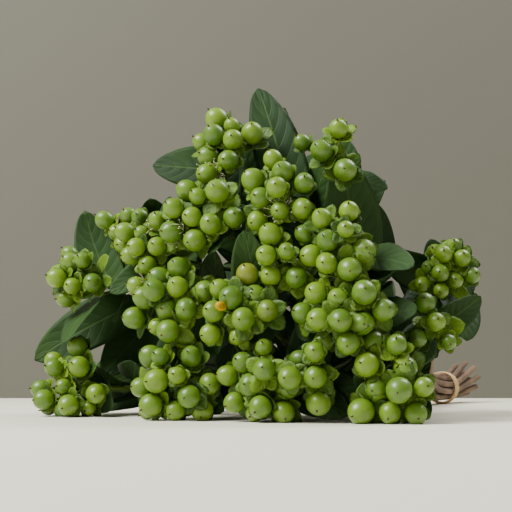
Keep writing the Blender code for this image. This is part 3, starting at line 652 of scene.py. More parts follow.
def carried(path, radius, sides, values=None, dome=0.0):
    # a round profile carried along a path without twist; radius is one number, one a ring, or a
    # grid with one a point. Each end closes on a middle point, which stands out by dome radii.
    rings = len(path)
    heading = unit(np.gradient(path, axis=0))
    across = np.empty_like(path)
    across[0] = unit(np.cross(heading[0], (0.31, 0.17, 0.93)))
    for k in range(1, rings):
        across[k] = unit(across[k - 1] - (across[k - 1] @ heading[k]) * heading[k])
    up = np.cross(heading, across)
    turn = np.arange(sides) / sides * 2 * math.pi
    radius = np.broadcast_to(np.asarray(radius, float).reshape(-1, 1) if np.ndim(radius) < 2 else radius,
                             (rings, sides))
    ring = np.cos(turn)[None, :, None] * across[:, None] + np.sin(turn)[None, :, None] * up[:, None]
    points = (path[:, None] + radius[:, :, None] * ring).reshape(-1, 3)
    ends = np.stack([
        path[0] - heading[0] * radius[0].mean() * dome,
        path[-1] + heading[-1] * radius[-1].mean() * dome,
    ])
    count = len(points)
    first = fanFaces(np.arange(sides)[::-1], count)
    last = fanFaces((rings - 1) * sides + np.arange(sides), count + 1)
    found = {"along": np.append(np.repeat(np.linspace(0, 1, rings), sides), (0.0, 1.0))}
    for key, value in (values or {}).items():
        found[key] = value
    quads = gridFaces(rings, sides, wrap=True)[:, ::-1]
    # known fault: these end fans are wound against the sides, so the end faces point inwards
    return np.concatenate([points, ends]), quads, np.concatenate([first, last]), found


# Materials


class NodeMaker:
    # adds nodes to one tree; a value may be a number, a colour or another node's output
    def __init__(self, tree):
        self.nodes, self.links = tree.nodes, tree.links

    def feed(self, socket, value):
        if isinstance(value, (int, float)):
            socket.default_value = value
        elif isinstance(value, tuple):
            socket.default_value = (*value, 1.0)
        else:
            self.links.new(value, socket)

    def attribute(self, name):
        node = self.nodes.new("ShaderNodeAttribute")
        node.attribute_name = name
        return node.outputs["Fac"]

    def math(self, operation, *values):
        node = self.nodes.new("ShaderNodeMath")
        node.operation = operation
        for socket, value in zip(node.inputs, values):
            self.feed(socket, value)
        return node.outputs[0]

    def times(self, first, second):
        return self.math("MULTIPLY", first, second)

    def mix(self, amount, first, second):
        node = self.nodes.new("ShaderNodeMix")
        node.data_type = "RGBA"
        sockets = node.inputs["Factor"], node.inputs[6], node.inputs[7]
        for socket, value in zip(sockets, (amount, first, second)):
            self.feed(socket, value)
        return node.outputs[2]

    def mask(self, value, start, end):
        # 0 below start and 1 above end, smooth between; start above end gives the reverse
        node = self.nodes.new("ShaderNodeMapRange")
        node.interpolation_type = "SMOOTHSTEP"
        rising = start < end
        limits = {"Value": value, "From Min": min(start, end), "From Max": max(start, end),
                  "To Min": 0.0 if rising else 1.0, "To Max": 1.0 if rising else 0.0}
        for name, limit in limits.items():
            self.feed(node.inputs[name], limit)
        return node.outputs["Result"]

    def mottle(self, patchScale, speckScale, seed=0.0):
        node = self.nodes.new("ShaderNodeGroup")
        node.node_tree = mottleGroup
        for name, value in (("Patch Scale", patchScale), ("Speck Scale", speckScale), ("Seed", seed)):
            self.feed(node.inputs[name], value)
        return node.outputs["Patches"], node.outputs["Specks"]

    def bump(self, shader, height, strength, distance):
        node = self.nodes.new("ShaderNodeBump")
        for name, value in (("Strength", strength), ("Distance", distance), ("Height", height)):
            self.feed(node.inputs[name], value)
        self.links.new(node.outputs["Normal"], shader.inputs["Normal"])


def newMaterial(name, roughness, coat=0.0, coatRoughness=0.1):
    material = bpy.data.materials.new(name)
    material.use_nodes = True
    shader = material.node_tree.nodes["Principled BSDF"]
    shader.inputs["Roughness"].default_value = roughness
    shader.inputs["Coat Weight"].default_value = coat
    shader.inputs["Coat Roughness"].default_value = coatRoughness
    return material, NodeMaker(material.node_tree), shader


def makeMottleGroup():
    # soft patches and fine specks, as two masks, from noise at two scales on the object's own place
    group = bpy.data.node_groups.new("mottle", "ShaderNodeTree")
    face = group.interface
    for name, value in (("Patch Scale", 60.0), ("Speck Scale", 900.0), ("Seed", 0.0)):
        face.new_socket(name, in_out="INPUT", socket_type="NodeSocketFloat").default_value = value
    for name in ("Patches", "Specks"):
        face.new_socket(name, in_out="OUTPUT", socket_type="NodeSocketFloat")
    maker = NodeMaker(group)
    inside, outside, place = (
        maker.nodes.new(kind) for kind in ("NodeGroupInput", "NodeGroupOutput", "ShaderNodeTexCoord"))
    layers = (("Patch Scale", "Patches", 0.35, 0.65), ("Speck Scale", "Specks", 0.58, 0.72))
    for scale, out, low, high in layers:
        noise = maker.nodes.new("ShaderNodeTexNoise")
        noise.noise_dimensions = "4D"
        noise.inputs["Detail"].default_value = 3.0
        maker.links.new(place.outputs["Object"], noise.inputs["Vector"])
        maker.links.new(inside.outputs["Seed"], noise.inputs["W"])
        maker.links.new(inside.outputs[scale], noise.inputs["Scale"])
        maker.links.new(maker.mask(noise.outputs[0], low, high), outside.inputs[out])
    return group


mottleGroup = makeMottleGroup()

berrySkin = {
    "green": (0.066, 0.155, 0.006),
    "yellow": (0.165, 0.285, 0.007),
    "pale": (0.21, 0.32, 0.035),
    "blush": (0.36, 0.30, 0.012),
    "tipRing": (0.16, 0.17, 0.03),
    "roughness": 0.45,
    "coat": 0.30,
    "subsurface": 0.08,
}


def makeBerrySkin():
    material, maker, shader = newMaterial("berrySkin", berrySkin["roughness"], berrySkin["coat"], 0.16)
    tone, along = maker.attribute("tone"), maker.attribute("along")
    patches, specks = maker.mottle(110.0, 1500.0)
    colour = maker.mix(tone, berrySkin["green"], berrySkin["yellow"])
    warm = maker.times(patches, 0.35)
    colour = maker.mix(warm, colour, berrySkin["yellow"])
    base = maker.times(maker.mask(along, 0.38, 0.0), 0.75)
    colour = maker.mix(base, colour, berrySkin["pale"])
    blush = maker.times(maker.attribute("blush"), 0.7)
    colour = maker.mix(blush, colour, berrySkin["blush"])
    ring = maker.times(maker.mask(along, 0.965, 0.995), 0.65)
    colour = maker.mix(ring, colour, berrySkin["tipRing"])
    fleck = maker.times(specks, 0.25)
    colour = maker.mix(fleck, colour, berrySkin["pale"])
    maker.links.new(colour, shader.inputs["Base Color"])
    shader.inputs["Subsurface Weight"].default_value = berrySkin["subsurface"]
    shader.inputs["Subsurface Radius"].default_value = (0.8, 1.0, 0.25)
    shader.inputs["Subsurface Scale"].default_value = 0.0025
    maker.bump(shader, patches, 0.06, 0.0006)
    return material


leafBlade = {
    "dark": (0.015, 0.038, 0.011),
    "fresh": (0.031, 0.074, 0.014),
    "under": (0.085, 0.15, 0.06),
    "vein": (0.045, 0.095, 0.02),
    "margin": (0.06, 0.10, 0.03),
    "sidePairs": 8.0,
    "specular": 0.15,
    "roughness": 0.58,
}
calyxBlade = {
    "dark": (0.032, 0.078, 0.012),
    "fresh": (0.17, 0.29, 0.012),
    "under": (0.065, 0.13, 0.03),
    "vein": (0.10, 0.18, 0.03),
    "margin": (0.13, 0.22, 0.05),
    "sidePairs": 4.0,
    "specular": 0.25,
    "roughness": 0.5,
}


def makeBlade(name, look):
    material, maker, shader = newMaterial(name, look["roughness"])
    along, across = maker.attribute("along"), maker.attribute("across")
    tone, under = maker.attribute("tone"), maker.attribute("under")
    patches, specks = maker.mottle(45.0, 700.0, tone)
    side = maker.math("ABSOLUTE", across)
    mixed = maker.times(maker.math("ADD", tone, patches), 0.5)
    colour = maker.mix(mixed, look["dark"], look["fresh"])
    # a side vein leaves the rib and bends towards the tip
    bend = maker.math("POWER", side, 1.25)
    place = maker.times(along, look["sidePairs"])
    place = maker.math("SUBTRACT", place, maker.times(bend, 1.9))
    wave = maker.math("PINGPONG", place, 0.5)
    veins = maker.mask(wave, 0.09, 0.02)
    veins = maker.times(veins, maker.mask(side, 0.95, 0.55))
    rib = maker.mask(side, 0.075, 0.02)
    lines = maker.math("MAXIMUM", rib, maker.times(veins, 0.5))
    upper = maker.times(lines, 0.75)
    edge = maker.times(maker.mask(side, 0.93, 0.99), 0.5)
    colour = maker.mix(edge, colour, look["margin"])
    colour = maker.mix(under, colour, look["under"])
    colour = maker.mix(upper, colour, look["vein"])
    colour = maker.mix(maker.times(specks, 0.1), colour, look["vein"])
    maker.links.new(colour, shader.inputs["Base Color"])
    shader.inputs["Specular IOR Level"].default_value = look["specular"]
    height = maker.math("SUBTRACT", maker.times(wave, 1.2), lines)
    height = maker.math("ADD", height, maker.times(specks, 0.15))
    maker.bump(shader, height, 0.35, 0.0006)
    return material


greenWood = {"young": (0.15, 0.25, 0.035), "old": (0.12, 0.085, 0.03), "stalk": (0.09, 0.16, 0.02)}


def makeGreenWood(name, young, old):
    material, maker, shader = newMaterial(name, 0.45, 0.1, 0.25)
    along = maker.attribute("along")
    patches, specks = maker.mottle(160.0, 1400.0)
    amount = maker.math("ADD", along, maker.math("MULTIPLY_ADD", patches, 0.3, -0.15))
    colour = maker.mix(amount, old, young)
    colour = maker.mix(maker.times(specks, 0.3), colour, old)
    maker.links.new(colour, shader.inputs["Base Color"])
    maker.bump(shader, specks, 0.15, 0.0003)
    return material


barkLook = {"light": (0.23, 0.145, 0.085), "dark": (0.072, 0.042, 0.025), "cut": (0.55, 0.43, 0.25),
            "pith": (0.30, 0.21, 0.11)}


def makeBark():
    material, maker, shader = newMaterial("bark", 0.75)
    place = maker.nodes.new("ShaderNodeTexCoord")
    stretch = maker.nodes.new("ShaderNodeMapping")
    stretch.inputs["Scale"].default_value = (1.0, 0.07, 1.0)
    maker.links.new(place.outputs["Object"], stretch.inputs["Vector"])
    streak = maker.nodes.new("ShaderNodeTexNoise")
    streak.inputs["Scale"].default_value = 1300.0
    streak.inputs["Detail"].default_value = 5.0
    maker.links.new(stretch.outputs["Vector"], streak.inputs["Vector"])
    patches, specks = maker.mottle(70.0, 1100.0)
    amount = maker.times(maker.math("ADD", streak.outputs[0], patches), 0.55)
    colour = maker.mix(amount, barkLook["dark"], barkLook["light"])
    colour = maker.mix(maker.times(specks, 0.5), colour, barkLook["light"])
    cut = maker.attribute("cut")
    core = maker.mix(maker.mask(cut, 0.75, 0.95), barkLook["cut"], barkLook["pith"])
    colour = maker.mix(maker.mask(cut, 0.02, 0.06), colour, core)
    maker.links.new(colour, shader.inputs["Base Color"])
    maker.bump(shader, streak.outputs[0], 0.5, 0.0005)
    return material


rubberLook = {"colour": (0.50, 0.30, 0.12), "worn": (0.62, 0.43, 0.22), "roughness": 0.55}


def makeRubber():
    material, maker, shader = newMaterial("rubber", rubberLook["roughness"])
    patches, specks = maker.mottle(200.0, 1600.0)
    colour = maker.mix(patches, rubberLook["colour"], rubberLook["worn"])
    maker.links.new(colour, shader.inputs["Base Color"])
    maker.bump(shader, specks, 0.2, 0.0002)
    return material


def makePlain(name, colour, roughness):
    material, maker, shader = newMaterial(name, roughness)
    patches = maker.mottle(260.0, 1700.0)[0]
    darker = tuple(0.6 * c for c in colour)
    maker.links.new(maker.mix(patches, darker, colour), shader.inputs["Base Color"])
    shader.inputs["Specular IOR Level"].default_value = 0.2
    return material


print("mixing the finishes")
finishes = {
    "berry": makeBerrySkin(),
    "leaf": makeBlade("leafBlade", leafBlade),
    "shoot": makeGreenWood("greenShoot", greenWood["young"], greenWood["old"]),
    "stalk": makeGreenWood("stalk", greenWood["stalk"], greenWood["young"]),
    "sepal": makeBlade("calyx", calyxBlade),
    "bark": makeBark(),
    "rubber": makeRubber(),
    "style": makePlain("driedStyle", (0.09, 0.045, 0.015), 0.7),
    "stamen": makePlain("driedStamen", (0.80, 0.76, 0.52), 0.6),
    "bud": makePlain("yellowBud", (0.52, 0.33, 0.0), 0.6),
}

# Thin closed blades: an upper and an under side that share their rim


def lensFaces(rows, columns):
    place = np.arange(rows * columns).reshape(rows, columns)
    under = place.copy()
    under[1:-1, 1:-1] = rows * columns + np.arange((rows - 2) * (columns - 2)).reshape(rows - 2, columns - 2)
    upper = gridFaces(rows, columns)
    return np.concatenate([upper, under.ravel()[upper][:, ::-1]])


def lensPoints(grid, normal, half):
    # grid and normal are (copies, rows, columns, 3) and half is the half thickness, nothing at the rim
    copies = len(grid)
    inner = (slice(None), slice(1, -1), slice(1, -1))
    thick = np.zeros(grid.shape[:3])
    thick[inner] = np.broadcast_to(half, grid.shape[:3])[inner]
    offset = thick[..., None] * normal
    upper = (grid + offset).reshape(copies, -1, 3)
    return np.concatenate([upper, (grid - offset)[inner].reshape(copies, -1, 3)], axis=1)


def lensValues(value):
    # a value on the grid, said again for the under side's own points
    copies = len(value)
    return np.concatenate([value.reshape(copies, -1), value[:, 1:-1, 1:-1].reshape(copies, -1)], axis=1)


def lensPart(grid, normal, half, along, across, tone):
    copies, rows, columns = grid.shape[:3]
    along = np.broadcast_to(along[:, None], (rows, columns))[None].repeat(copies, 0)
    across = np.broadcast_to(across[None], (rows, columns))[None].repeat(copies, 0)
    inside = (rows - 2) * (columns - 2)
    under = np.concatenate([np.zeros(rows * columns), np.ones(inside)])
    values = {"along": lensValues(along), "across": lensValues(across), "under": under[None],
              "tone": np.asarray(tone, float)[:, None]}
    return repeatPart(lensPoints(grid, normal, half), lensFaces(rows, columns), noTriangles, values)


# Berries keep whatever lies near them outside their skin


def pushOut(points, clearance, owner=None):
    # points inside a berry, or nearer than the clearance, move straight out of it; owner names the
    # one berry that each point may enter
    flat = points.reshape(-1, 3).copy()
    reach = radii[None] * 1.03 + clearance
    for _ in range(3):
        gap = np.sqrt(squareDistances(flat, centres)) + 1e-9
        short = np.clip(reach - gap, 0.0, None)
        if owner is not None:
            short[np.arange(len(flat)), owner.ravel()] = 0.0
        by = short.argmax(axis=1)
        k = np.arange(len(flat))
        flat += (flat - centres[by]) / gap[k, by][:, None] * short[k, by][:, None]
    return flat.reshape(points.shape)


woodShape = {"step": 2.6, "sides": 12, "swell": 0.18, "nodeGap": 31.0, "branchSides": 10, "joint": 0.6}


def swelling(distance, places, height, width=2.2):
    return height * np.exp(-(((distance[:, None] - np.asarray(places)[None]) / width) ** 2)).sum(axis=1)


def woodPart(number, line):
    # the profile swells at the old leaf scars, and its edge is rounded at the cut end
    rng = np.random.default_rng(100 + number)
    end = arcLengths(line)[-1] - bunch["shootLength"]
    count = round(end / woodShape["step"])
    distance = np.concatenate([[0.0, 0.06, 0.35], np.linspace(1.2, end, count)])
    scars = np.arange(rng.uniform(14, 30), end, woodShape["nodeGap"])
    radius = bunch["stemRadius"] + swelling(distance, scars, woodShape["swell"])
    radius[:3] = bunch["stemRadius"] * np.array([0.82, 0.95, 1.0])
    turn = np.arange(woodShape["sides"]) / woodShape["sides"] * 2 * math.pi
    knobs = 1 + 0.022 * np.cos(2 * turn + rng.uniform(0, 6))[None] * np.sin(distance / 17.0)[:, None]
    cut = np.zeros(len(distance) * woodShape["sides"] + 2)
    cut[: woodShape["sides"]] = 0.3
    cut[-2] = 1.0
    return carried(resample(line, distance), radius[:, None] * knobs, woodShape["sides"], {"cut": cut})


def shootPart(line, branch):
    # green wood that thins towards the fork and swells where a pair of leaves stands
    length = arcLengths(line)[-1]
    first = length - bunch["shootLength"] - woodShape["joint"]
    distance = np.linspace(first, length + 1.0, round(bunch["shootLength"] / woodShape["step"]))
    share = (distance - first) / bunch["shootLength"]
    radius = bunch["stemRadius"] * 1.04 + (bunch["shootRadius"] - bunch["stemRadius"]) * share
    leafPairs = [length - back for back, _ in leafRule["pairs"]]
    radius = radius + swelling(distance, leafPairs, 0.32) + swelling(distance, [first], 0.12, 3.0)
    parts = [carried(resample(line, distance), radius, woodShape["branchSides"])]
    if branch is not None:
        reach = arcLengths(branch)[-1]
        distance = np.linspace(0.0, reach + 1.0, round(reach / woodShape["step"]))
        swell = swelling(distance, [reach - leafRule["sidePairs"][0][0]], 0.3)
        swell = swell + swelling(distance, [0.0], 0.4, 5.0)
        part = carried(resample(branch, distance), bunch["shootRadius"] + swell, woodShape["branchSides"])
        part[3]["along"] = 0.35 + 0.65 * part[3]["along"]
        parts.append(part)
    return joinParts(parts)


leafShape = {"rows": 27, "columns": 13, "half": 0.3, "wave": 0.45, "puff": 0.22, "round": 1.5}


def leafPart(group, rng, rows, columns, half):
    # the middle surface of each leaf, its margin gently waved and puffed up between its side veins
    s, t = np.linspace(0.0, 1.0, rows), np.linspace(-1.0, 1.0, columns)
    grids, normals, tones = [], [], []
    side = np.abs(t)[None]
    for leaf in group:
        grid, normal = bladeGrid(leaf, rows, columns)
        size = leaf[3] / 14.0
        softer = leafRule["fold"] * leaf[3] * bladeOutline(s)[:, None] * (side ** leafShape["round"] - side)
        phase = rng.uniform(0, 2 * math.pi, 2)
        wave = np.sin(2 * math.pi * 2.3 * s + phase[0])[:, None] * (t[None] > 0)
        wave = wave + np.sin(2 * math.pi * 1.9 * s + phase[1])[:, None] * (t[None] <= 0)
        veins = np.cos(2 * math.pi * (leafBlade["sidePairs"] * s[:, None] - 1.9 * side**1.25))
        lift = leafShape["wave"] * size * wave * side**2 * np.sin(math.pi * s)[:, None] ** 0.5
        lift = lift - leafShape["puff"] * size * veins * side * (1 - side) * 4 * np.sin(math.pi * s)[:, None]
        grids.append(grid + (softer + lift)[..., None] * normal)
        normals.append(normal)
        tones.append(rng.uniform(0, 1))
    thick = half * np.sqrt(np.clip(1 - t**2, 0, 1))[None, None] * (1 + 0.9 * np.exp(-((t / 0.12) ** 2)))
    return lensPart(np.array(grids), np.array(normals), thick, s, t, tones)


print("stems, shoots and leaves")
# pairs further down the shoots and branches, which the solids leave out: back, length
innerPairs = {
    "main": ((26.0, 40.0), (54.0, 50.0), (88.0, 54.0), (108.0, 52.0)),
    "side": ((38.0, 46.0), (62.0, 44.0)),
}
innerRng = np.random.default_rng(61)
for index in range(len(sprays)):
    for level, (back, length) in enumerate(innerPairs["main" if index in mains.values() else "side"]):
        root, heading = rootAndHeading(lines[index], back)
        across, rise = sideAxes(heading)
        turn = innerRng.uniform(0, math.pi)
        for side in (1, -1):
            side = side * around(across, rise, turn)
            tilt = math.radians(innerRng.uniform(30, 58))
            reach = length * innerRng.uniform(0.85, 1.1)
            start = root + leafRule["rootOffset"] * side
            leaf = spreadLeaf(start, root, heading, side, tilt, reach, leafRule["aspect"])
            placeLeaf(leaves, balls, index, leaf, few=True)
print(len(leaves), "leaves with the inner pairs")
leafRng = np.random.default_rng(37)
for stem in sorted(mains):
    main = mains[stem]
    sideIndex = [index for index in range(len(sprays)) if stemOf[index] == stem and index != main]
    branch = lines[sideIndex[0]] if sideIndex else None
    node = f"leafy_shoot_{stem:02d}"
    part = woodPart(stem, lines[main])
    makePiece(f"wood_{stem:02d}", part, finishes["bark"], [f"stem_{stem:02d}"])
    makePiece(f"shoot_{stem:02d}", shootPart(lines[main], branch), finishes["shoot"], [node])
    own = [leaf for index, leaf in leaves if stemOf[index] == stem]
    part = leafPart(own, leafRng, leafShape["rows"], leafShape["columns"], leafShape["half"])
    makePiece(f"leaves_{stem:02d}", part, finishes["leaf"], [node])


# Sprays: berry skins, styles, sepals and bracts, stalks

berryShape = {"rings": 13, "sides": 20, "length": 1.07, "egg": 0.05, "lump": 0.012, "nub": 0.05}
# where a berry turns yellow, and how far
blushed = (((-3.5, 15.2, 76.0), 0.5), ((9.3, 17.0, 62.0), 0.15))
berryRng = np.random.default_rng(53)
berryTone = berryRng.uniform(0, 1, len(centres)) ** 1.4
berryBlush = np.zeros(len(centres))
for place, amount in blushed:
    berryBlush[np.linalg.norm(centres - place, axis=1).argmin()] = amount


def skinPart(own):
    # a turned egg: at angle a from the base the half width is sin a, a little fuller towards the
    # base, and the skin rises to a small point at the tip
    rings, sides = berryShape["rings"], berryShape["sides"]
    a = np.linspace(0.0, math.pi, rings + 2)
    along, across = np.cos(a), np.sin(a)
    wide = across * (1 + berryShape["egg"] * along)
    high = -along * berryShape["length"] + berryShape["nub"] * np.exp(-(((math.pi - a) / 0.16) ** 2))
    turn = np.arange(sides) / sides * 2 * math.pi
    level, rise = sideAxes(tips[own])
    phase = berryRng.uniform(0, 2 * math.pi, (2, len(own), 1, 1))
    lump = 1 + berryShape["lump"] * (np.cos(2 * turn + phase[0]) + np.cos(3 * turn + phase[1]))
    r = radii[own][:, None, None]
    ring = wide[None, :, None] * r * lump
    points = (
        centres[own][:, None, None]
        + (high[None, :, None] * r)[..., None] * tips[own][:, None, None]
        + (ring * np.cos(turn))[..., None] * level[:, None, None]
        + (ring * np.sin(turn))[..., None] * rise[:, None, None]
    )
    body = points[:, 1:-1].reshape(len(own), -1, 3)
    ends = points[:, [0, -1], 0]
    values = {
        "along": np.append(np.repeat(a[1:-1] / math.pi, sides), (0.0, 1.0))[None],
        "tone": berryTone[own][:, None],
        "blush": berryBlush[own][:, None],
    }
    return repeatPart(np.concatenate([body, ends], axis=1), *closedFaces(rings, sides), values)


sepalShape = {"rows": 7, "columns": 5, "lobes": 5, "half": 0.12, "reach": (1.2, 2.05), "width": 0.6,
              "bend": (-0.1, 0.85), "cup": 0.3, "clearance": 0.3, "freshShare": 0.4}


def sepalPart(own):
    # each berry sits on five rounded lobes; a lobe leaves the base, bends up or back as u squared,
    # and is moved out of any berry that it would enter
    count, rng = len(own), np.random.default_rng(900 + int(own[0]))
    rows, columns, lobes = (sepalShape[key] for key in ("rows", "columns", "lobes"))
    u = np.linspace(0.0, 1.0, rows)[None, None, :, None]
    v = np.linspace(-1.0, 1.0, columns)[None, None, None, :]
    j = np.arange(lobes)[None]
    angle = 2 * math.pi * (j / lobes + rng.uniform(0, 1, (count, 1)))
    angle = angle + rng.uniform(-0.18, 0.18, (count, lobes))
    level, rise = sideAxes(tips[own])
    outward = np.cos(angle)[..., None] * level[:, None] + np.sin(angle)[..., None] * rise[:, None]
    sideways = np.cos(angle)[..., None] * rise[:, None] - np.sin(angle)[..., None] * level[:, None]
    r = radii[own][:, None, None, None]
    reach = rng.uniform(*sepalShape["reach"], (count, 1)) * rng.uniform(0.85, 1.12, (count, lobes))
    reach = reach[..., None, None]
    bend = rng.uniform(*sepalShape["bend"], (count, 1)) + rng.uniform(-0.15, 0.15, (count, lobes))
    bend = bend[..., None, None]
    width = r * sepalShape["width"] * np.sin(math.pi * (0.12 + 0.85 * u)) ** 0.7 * (0.6 + 0.4 * reach)
    out = r * (0.1 + reach * u)
    high = r * (-1.05 + bend * u**2) + sepalShape["cup"] * width * v**2
    tip = tips[own][:, None, None, None]
    grid = (
        centres[own][:, None, None, None]
        + high[..., None] * tip
        + (out + 0 * v)[..., None] * outward[:, :, None, None]
        + (width * v)[..., None] * sideways[:, :, None, None]
    )
    grid = pushOut(grid, sepalShape["clearance"]).reshape(count * lobes, rows, columns, 3)
    normal = unit(np.cross(np.gradient(grid, axis=1), np.gradient(grid, axis=2)))
    outwardBase = np.repeat(tips[own], lobes, axis=0)[:, None, None]
    normal = normal * np.sign((normal * outwardBase).sum(axis=-1).mean(axis=(1, 2)))[:, None, None, None]
    # most are dull, and those of a few small berries are a fresh yellow-green
    fresh = (leftOut[own] & (rng.uniform(0, 1, count) < sepalShape["freshShare"])) * 1.0
    tone = np.repeat(rng.uniform(0, 0.35, count) + fresh, lobes)
    return lensPart(grid, normal, sepalShape["half"], u.ravel(), v.ravel(), tone)


styleShape = {"count": 3, "length": 1.15, "radius": 0.27}


def stylePart(own):
    # three short dry threads that stand close together on the tip
    parts = []
    for k in own:
        level, rise = sideAxes(tips[k])
        base = centres[k] + tips[k] * radii[k] * (berryShape["length"] + berryShape["nub"] - 0.03)
        for turn in np.arange(styleShape["count"]) * 2 * math.pi / styleShape["count"] + k:
            lean = around(level, rise, turn)
            steps = np.linspace(0.0, 1.0, 4)[:, None] * styleShape["length"]
            path = base + steps * tips[k] + (0.16 + 0.1 * steps**2) * lean
            parts.append(carried(path, styleShape["radius"] * np.array([1.5, 0.9, 0.75, 0.8]), 5, dome=0.5))
    return joinParts(parts)


stalkShape = {"sides": 7, "points": 9, "flare": 1.9, "stub": 6.0}


def stalksPart(index):
    # the end of the shoot, its twigs, and a thin stalk that opens under each berry
    fork, axis = forks[index], axes[index]
    stub = fork + np.linspace(-0.6, stalkShape["stub"], 4)[:, None] * axis
    parts = [carried(stub, bunch["shootRadius"] * np.array([1.0, 1.06, 1.0, 0.8]), 10, dome=0.4)]
    for start, group in sprayTwigs(berries, index, fork, axis):
        steps = np.linspace(0.0, 1.0, 6)[:, None]
        twig = pushOut(fork + 1.5 * axis + steps * (start + unit(start - fork) - fork - 1.5 * axis), 1.1)
        radius = bunch["shootRadius"] * np.array([0.95, 0.8, 0.78, 0.78, 0.84, 0.9])
        parts.append(carried(twig, radius, stalkShape["sides"], dome=0.5))
        for k in group:
            path = stalkLine(start, fork, centres[k], radii[k], tips[k], stalkShape["points"])
            path[1:-1] = pushOut(path[1:-1], 0.9, np.full(len(path) - 2, k))
            share = np.linspace(0.0, 1.0, len(path))
            radius = bunch["stalkRadius"] * (0.92 + (stalkShape["flare"] - 0.92) * share**7)
            parts.append(carried(path, radius, stalkShape["sides"]))
    return joinParts(parts)


bractShape = {"rows": 13, "columns": 7, "half": 0.2, "forkLength": 22.0, "twigLength": 14.0, "aspect": 0.3,
              "tilt": 42}


def bracts(index, rng):
    # small leaves: a pair at the fork and one or two where a twig divides, where they find room
    fork, axis = forks[index], axes[index]
    level, rise = sideAxes(axis)
    turn = rng.uniform(0, math.pi)
    side = around(level, rise, turn)
    wanted = [(fork, axis, way, bractShape["forkLength"]) for way in (side, -side)]
    for start, _ in sprayTwigs(berries, index, fork, axis):
        heading = unit(start - fork)
        level, rise = sideAxes(heading)
        turn = rng.uniform(0, math.pi)
        side = around(level, rise, turn)
        wanted += [(start, heading, way, bractShape["twigLength"]) for way in (side, -side)]
    before = len(leaves)
    for root, heading, side, length in wanted:
        length = length * rng.uniform(0.8, 1.2)
        tilt = math.radians(bractShape["tilt"] + rng.uniform(-12, 25))
        leaf = spreadLeaf(root + 0.5 * side, root, heading, side, tilt, length, bractShape["aspect"], 0.1)
        placeLeaf(leaves, balls, index, leaf, few=True)
    found = [leaf for _, leaf in leaves[before:]]
    del leaves[before:]
    return found


print("berries")
bractRng = np.random.default_rng(71)
found = 0
for index, row in enumerate(sprays):
    own, node = np.flatnonzero(spray == index), [f"berries_{row[0]}"]
    makePiece(f"skin_{row[0]}", skinPart(own), finishes["berry"], node)
    makePiece(f"styles_{row[0]}", stylePart(own), finishes["style"], node)
    makePiece(f"stalks_{row[0]}", stalksPart(index), finishes["stalk"], node)
    small = bracts(index, bractRng)
    found += len(small)
    parts = [sepalPart(own)]
    if small:
        parts.append(leafPart(small, bractRng, bractShape["rows"], bractShape["columns"], bractShape["half"]))
    makePiece(f"sepals_{row[0]}", joinParts(parts), finishes["sepal"], node)
print(found, "bracts")


# Dried stamens at the base of a few berries, and one small bud

stamenShape = {"threads": 22, "length": (7.0, 11.0), "radius": 0.15, "anther": 0.34}
tufted = ((-37.0, 31.6, 133.0), (22.0, 22.0, 105.0), (-62.4, 28.0, 109.7), (-44.7, 23.3, 101.5),
          (-80.1, 24.7, 80.3))


def tuftPart(k, rng):
    # threads that leave the berry's base all round and curl outward, each with a small end
    level, rise = sideAxes(tips[k])
    base = centres[k] - tips[k] * radii[k] * 1.04
    parts = []
    for turn in rng.uniform(0, 2 * math.pi, stamenShape["threads"]):
        out = around(level, rise, turn)
        length = rng.uniform(*stamenShape["length"])
        end = base + length * unit(out + rng.uniform(0.1, 1.3) * tips[k] + rng.uniform(-0.3, 0.3, 3))
        arrive = (unit(end - base) + rng.uniform(-0.6, 0.6, 3)) * length
        path = pushOut(hermite(base + 0.3 * out, out * length, end, arrive, 7), 0.35)
        anther = stamenShape["anther"] / stamenShape["radius"]
        radius = stamenShape["radius"] * np.array([1.2, 1, 1, 1, 1, 1, anther])
        parts.append(carried(path, radius, 4, dome=0.6))
    return joinParts(parts)


print("stamens and bud")
tuftRng = np.random.default_rng(83)
tufts = [tuftPart(np.linalg.norm(centres - place, axis=1).argmin(), tuftRng) for place in tufted]
makePiece("stamens", joinParts(tufts), finishes["stamen"])

budShape = {"place": (-8.5, 8.2, 60.2), "spray": 13, "radius": 2.7, "length": 3.9, "twist": 1.6, "petals": 5}


def budParts():
    # a closed bud: five furrows wind round a pointed egg
    centre = pushOut(np.array([budShape["place"]], float), budShape["radius"] + 0.4)[0]
    fork = forks[budShape["spray"]]
    heading = unit(centre - fork)
    level, rise = sideAxes(heading)
    rings, sides = 17, 30
    a = np.linspace(0.06, math.pi - 0.04, rings)[:, None]
    turn = (np.arange(sides) / sides * 2 * math.pi)[None]
    furrow = 1 - 0.2 * np.abs(np.sin(budShape["petals"] / 2 * (turn + budShape["twist"] * a))) ** 0.6
    wide = budShape["radius"] * np.sin(a) ** 0.85 * furrow
    high = -budShape["length"] * np.cos(a)
    points = centre + high[..., None] * heading + (wide * np.cos(turn))[..., None] * level
    points = points + (wide * np.sin(turn))[..., None] * rise
    ends = np.stack([centre - budShape["length"] * heading, centre + budShape["length"] * heading])
    body = np.concatenate([points.reshape(-1, 3), ends]), *closedFaces(rings, sides), {"along": 0.0}
    base = centre - budShape["length"] * heading * 0.9
    reach = np.linalg.norm(base - fork) * heading
    path = pushOut(hermite(fork, reach, base, reach, 12), 0.9)
    path[-1] = base
    return body, carried(path, bunch["stalkRadius"] * 0.9, 7)


bud, budStalk = budParts()
makePiece("bud", bud, finishes["bud"])
makePiece("bud_stalk", budStalk, finishes["stalk"])

rubberShape = {"steps": 180, "sides": 12, "halfWidth": 0.95, "halfHeight": 0.6, "spread": 3.4, "lap": 0.55,
               "slant": 1.6, "phase": 0.8}


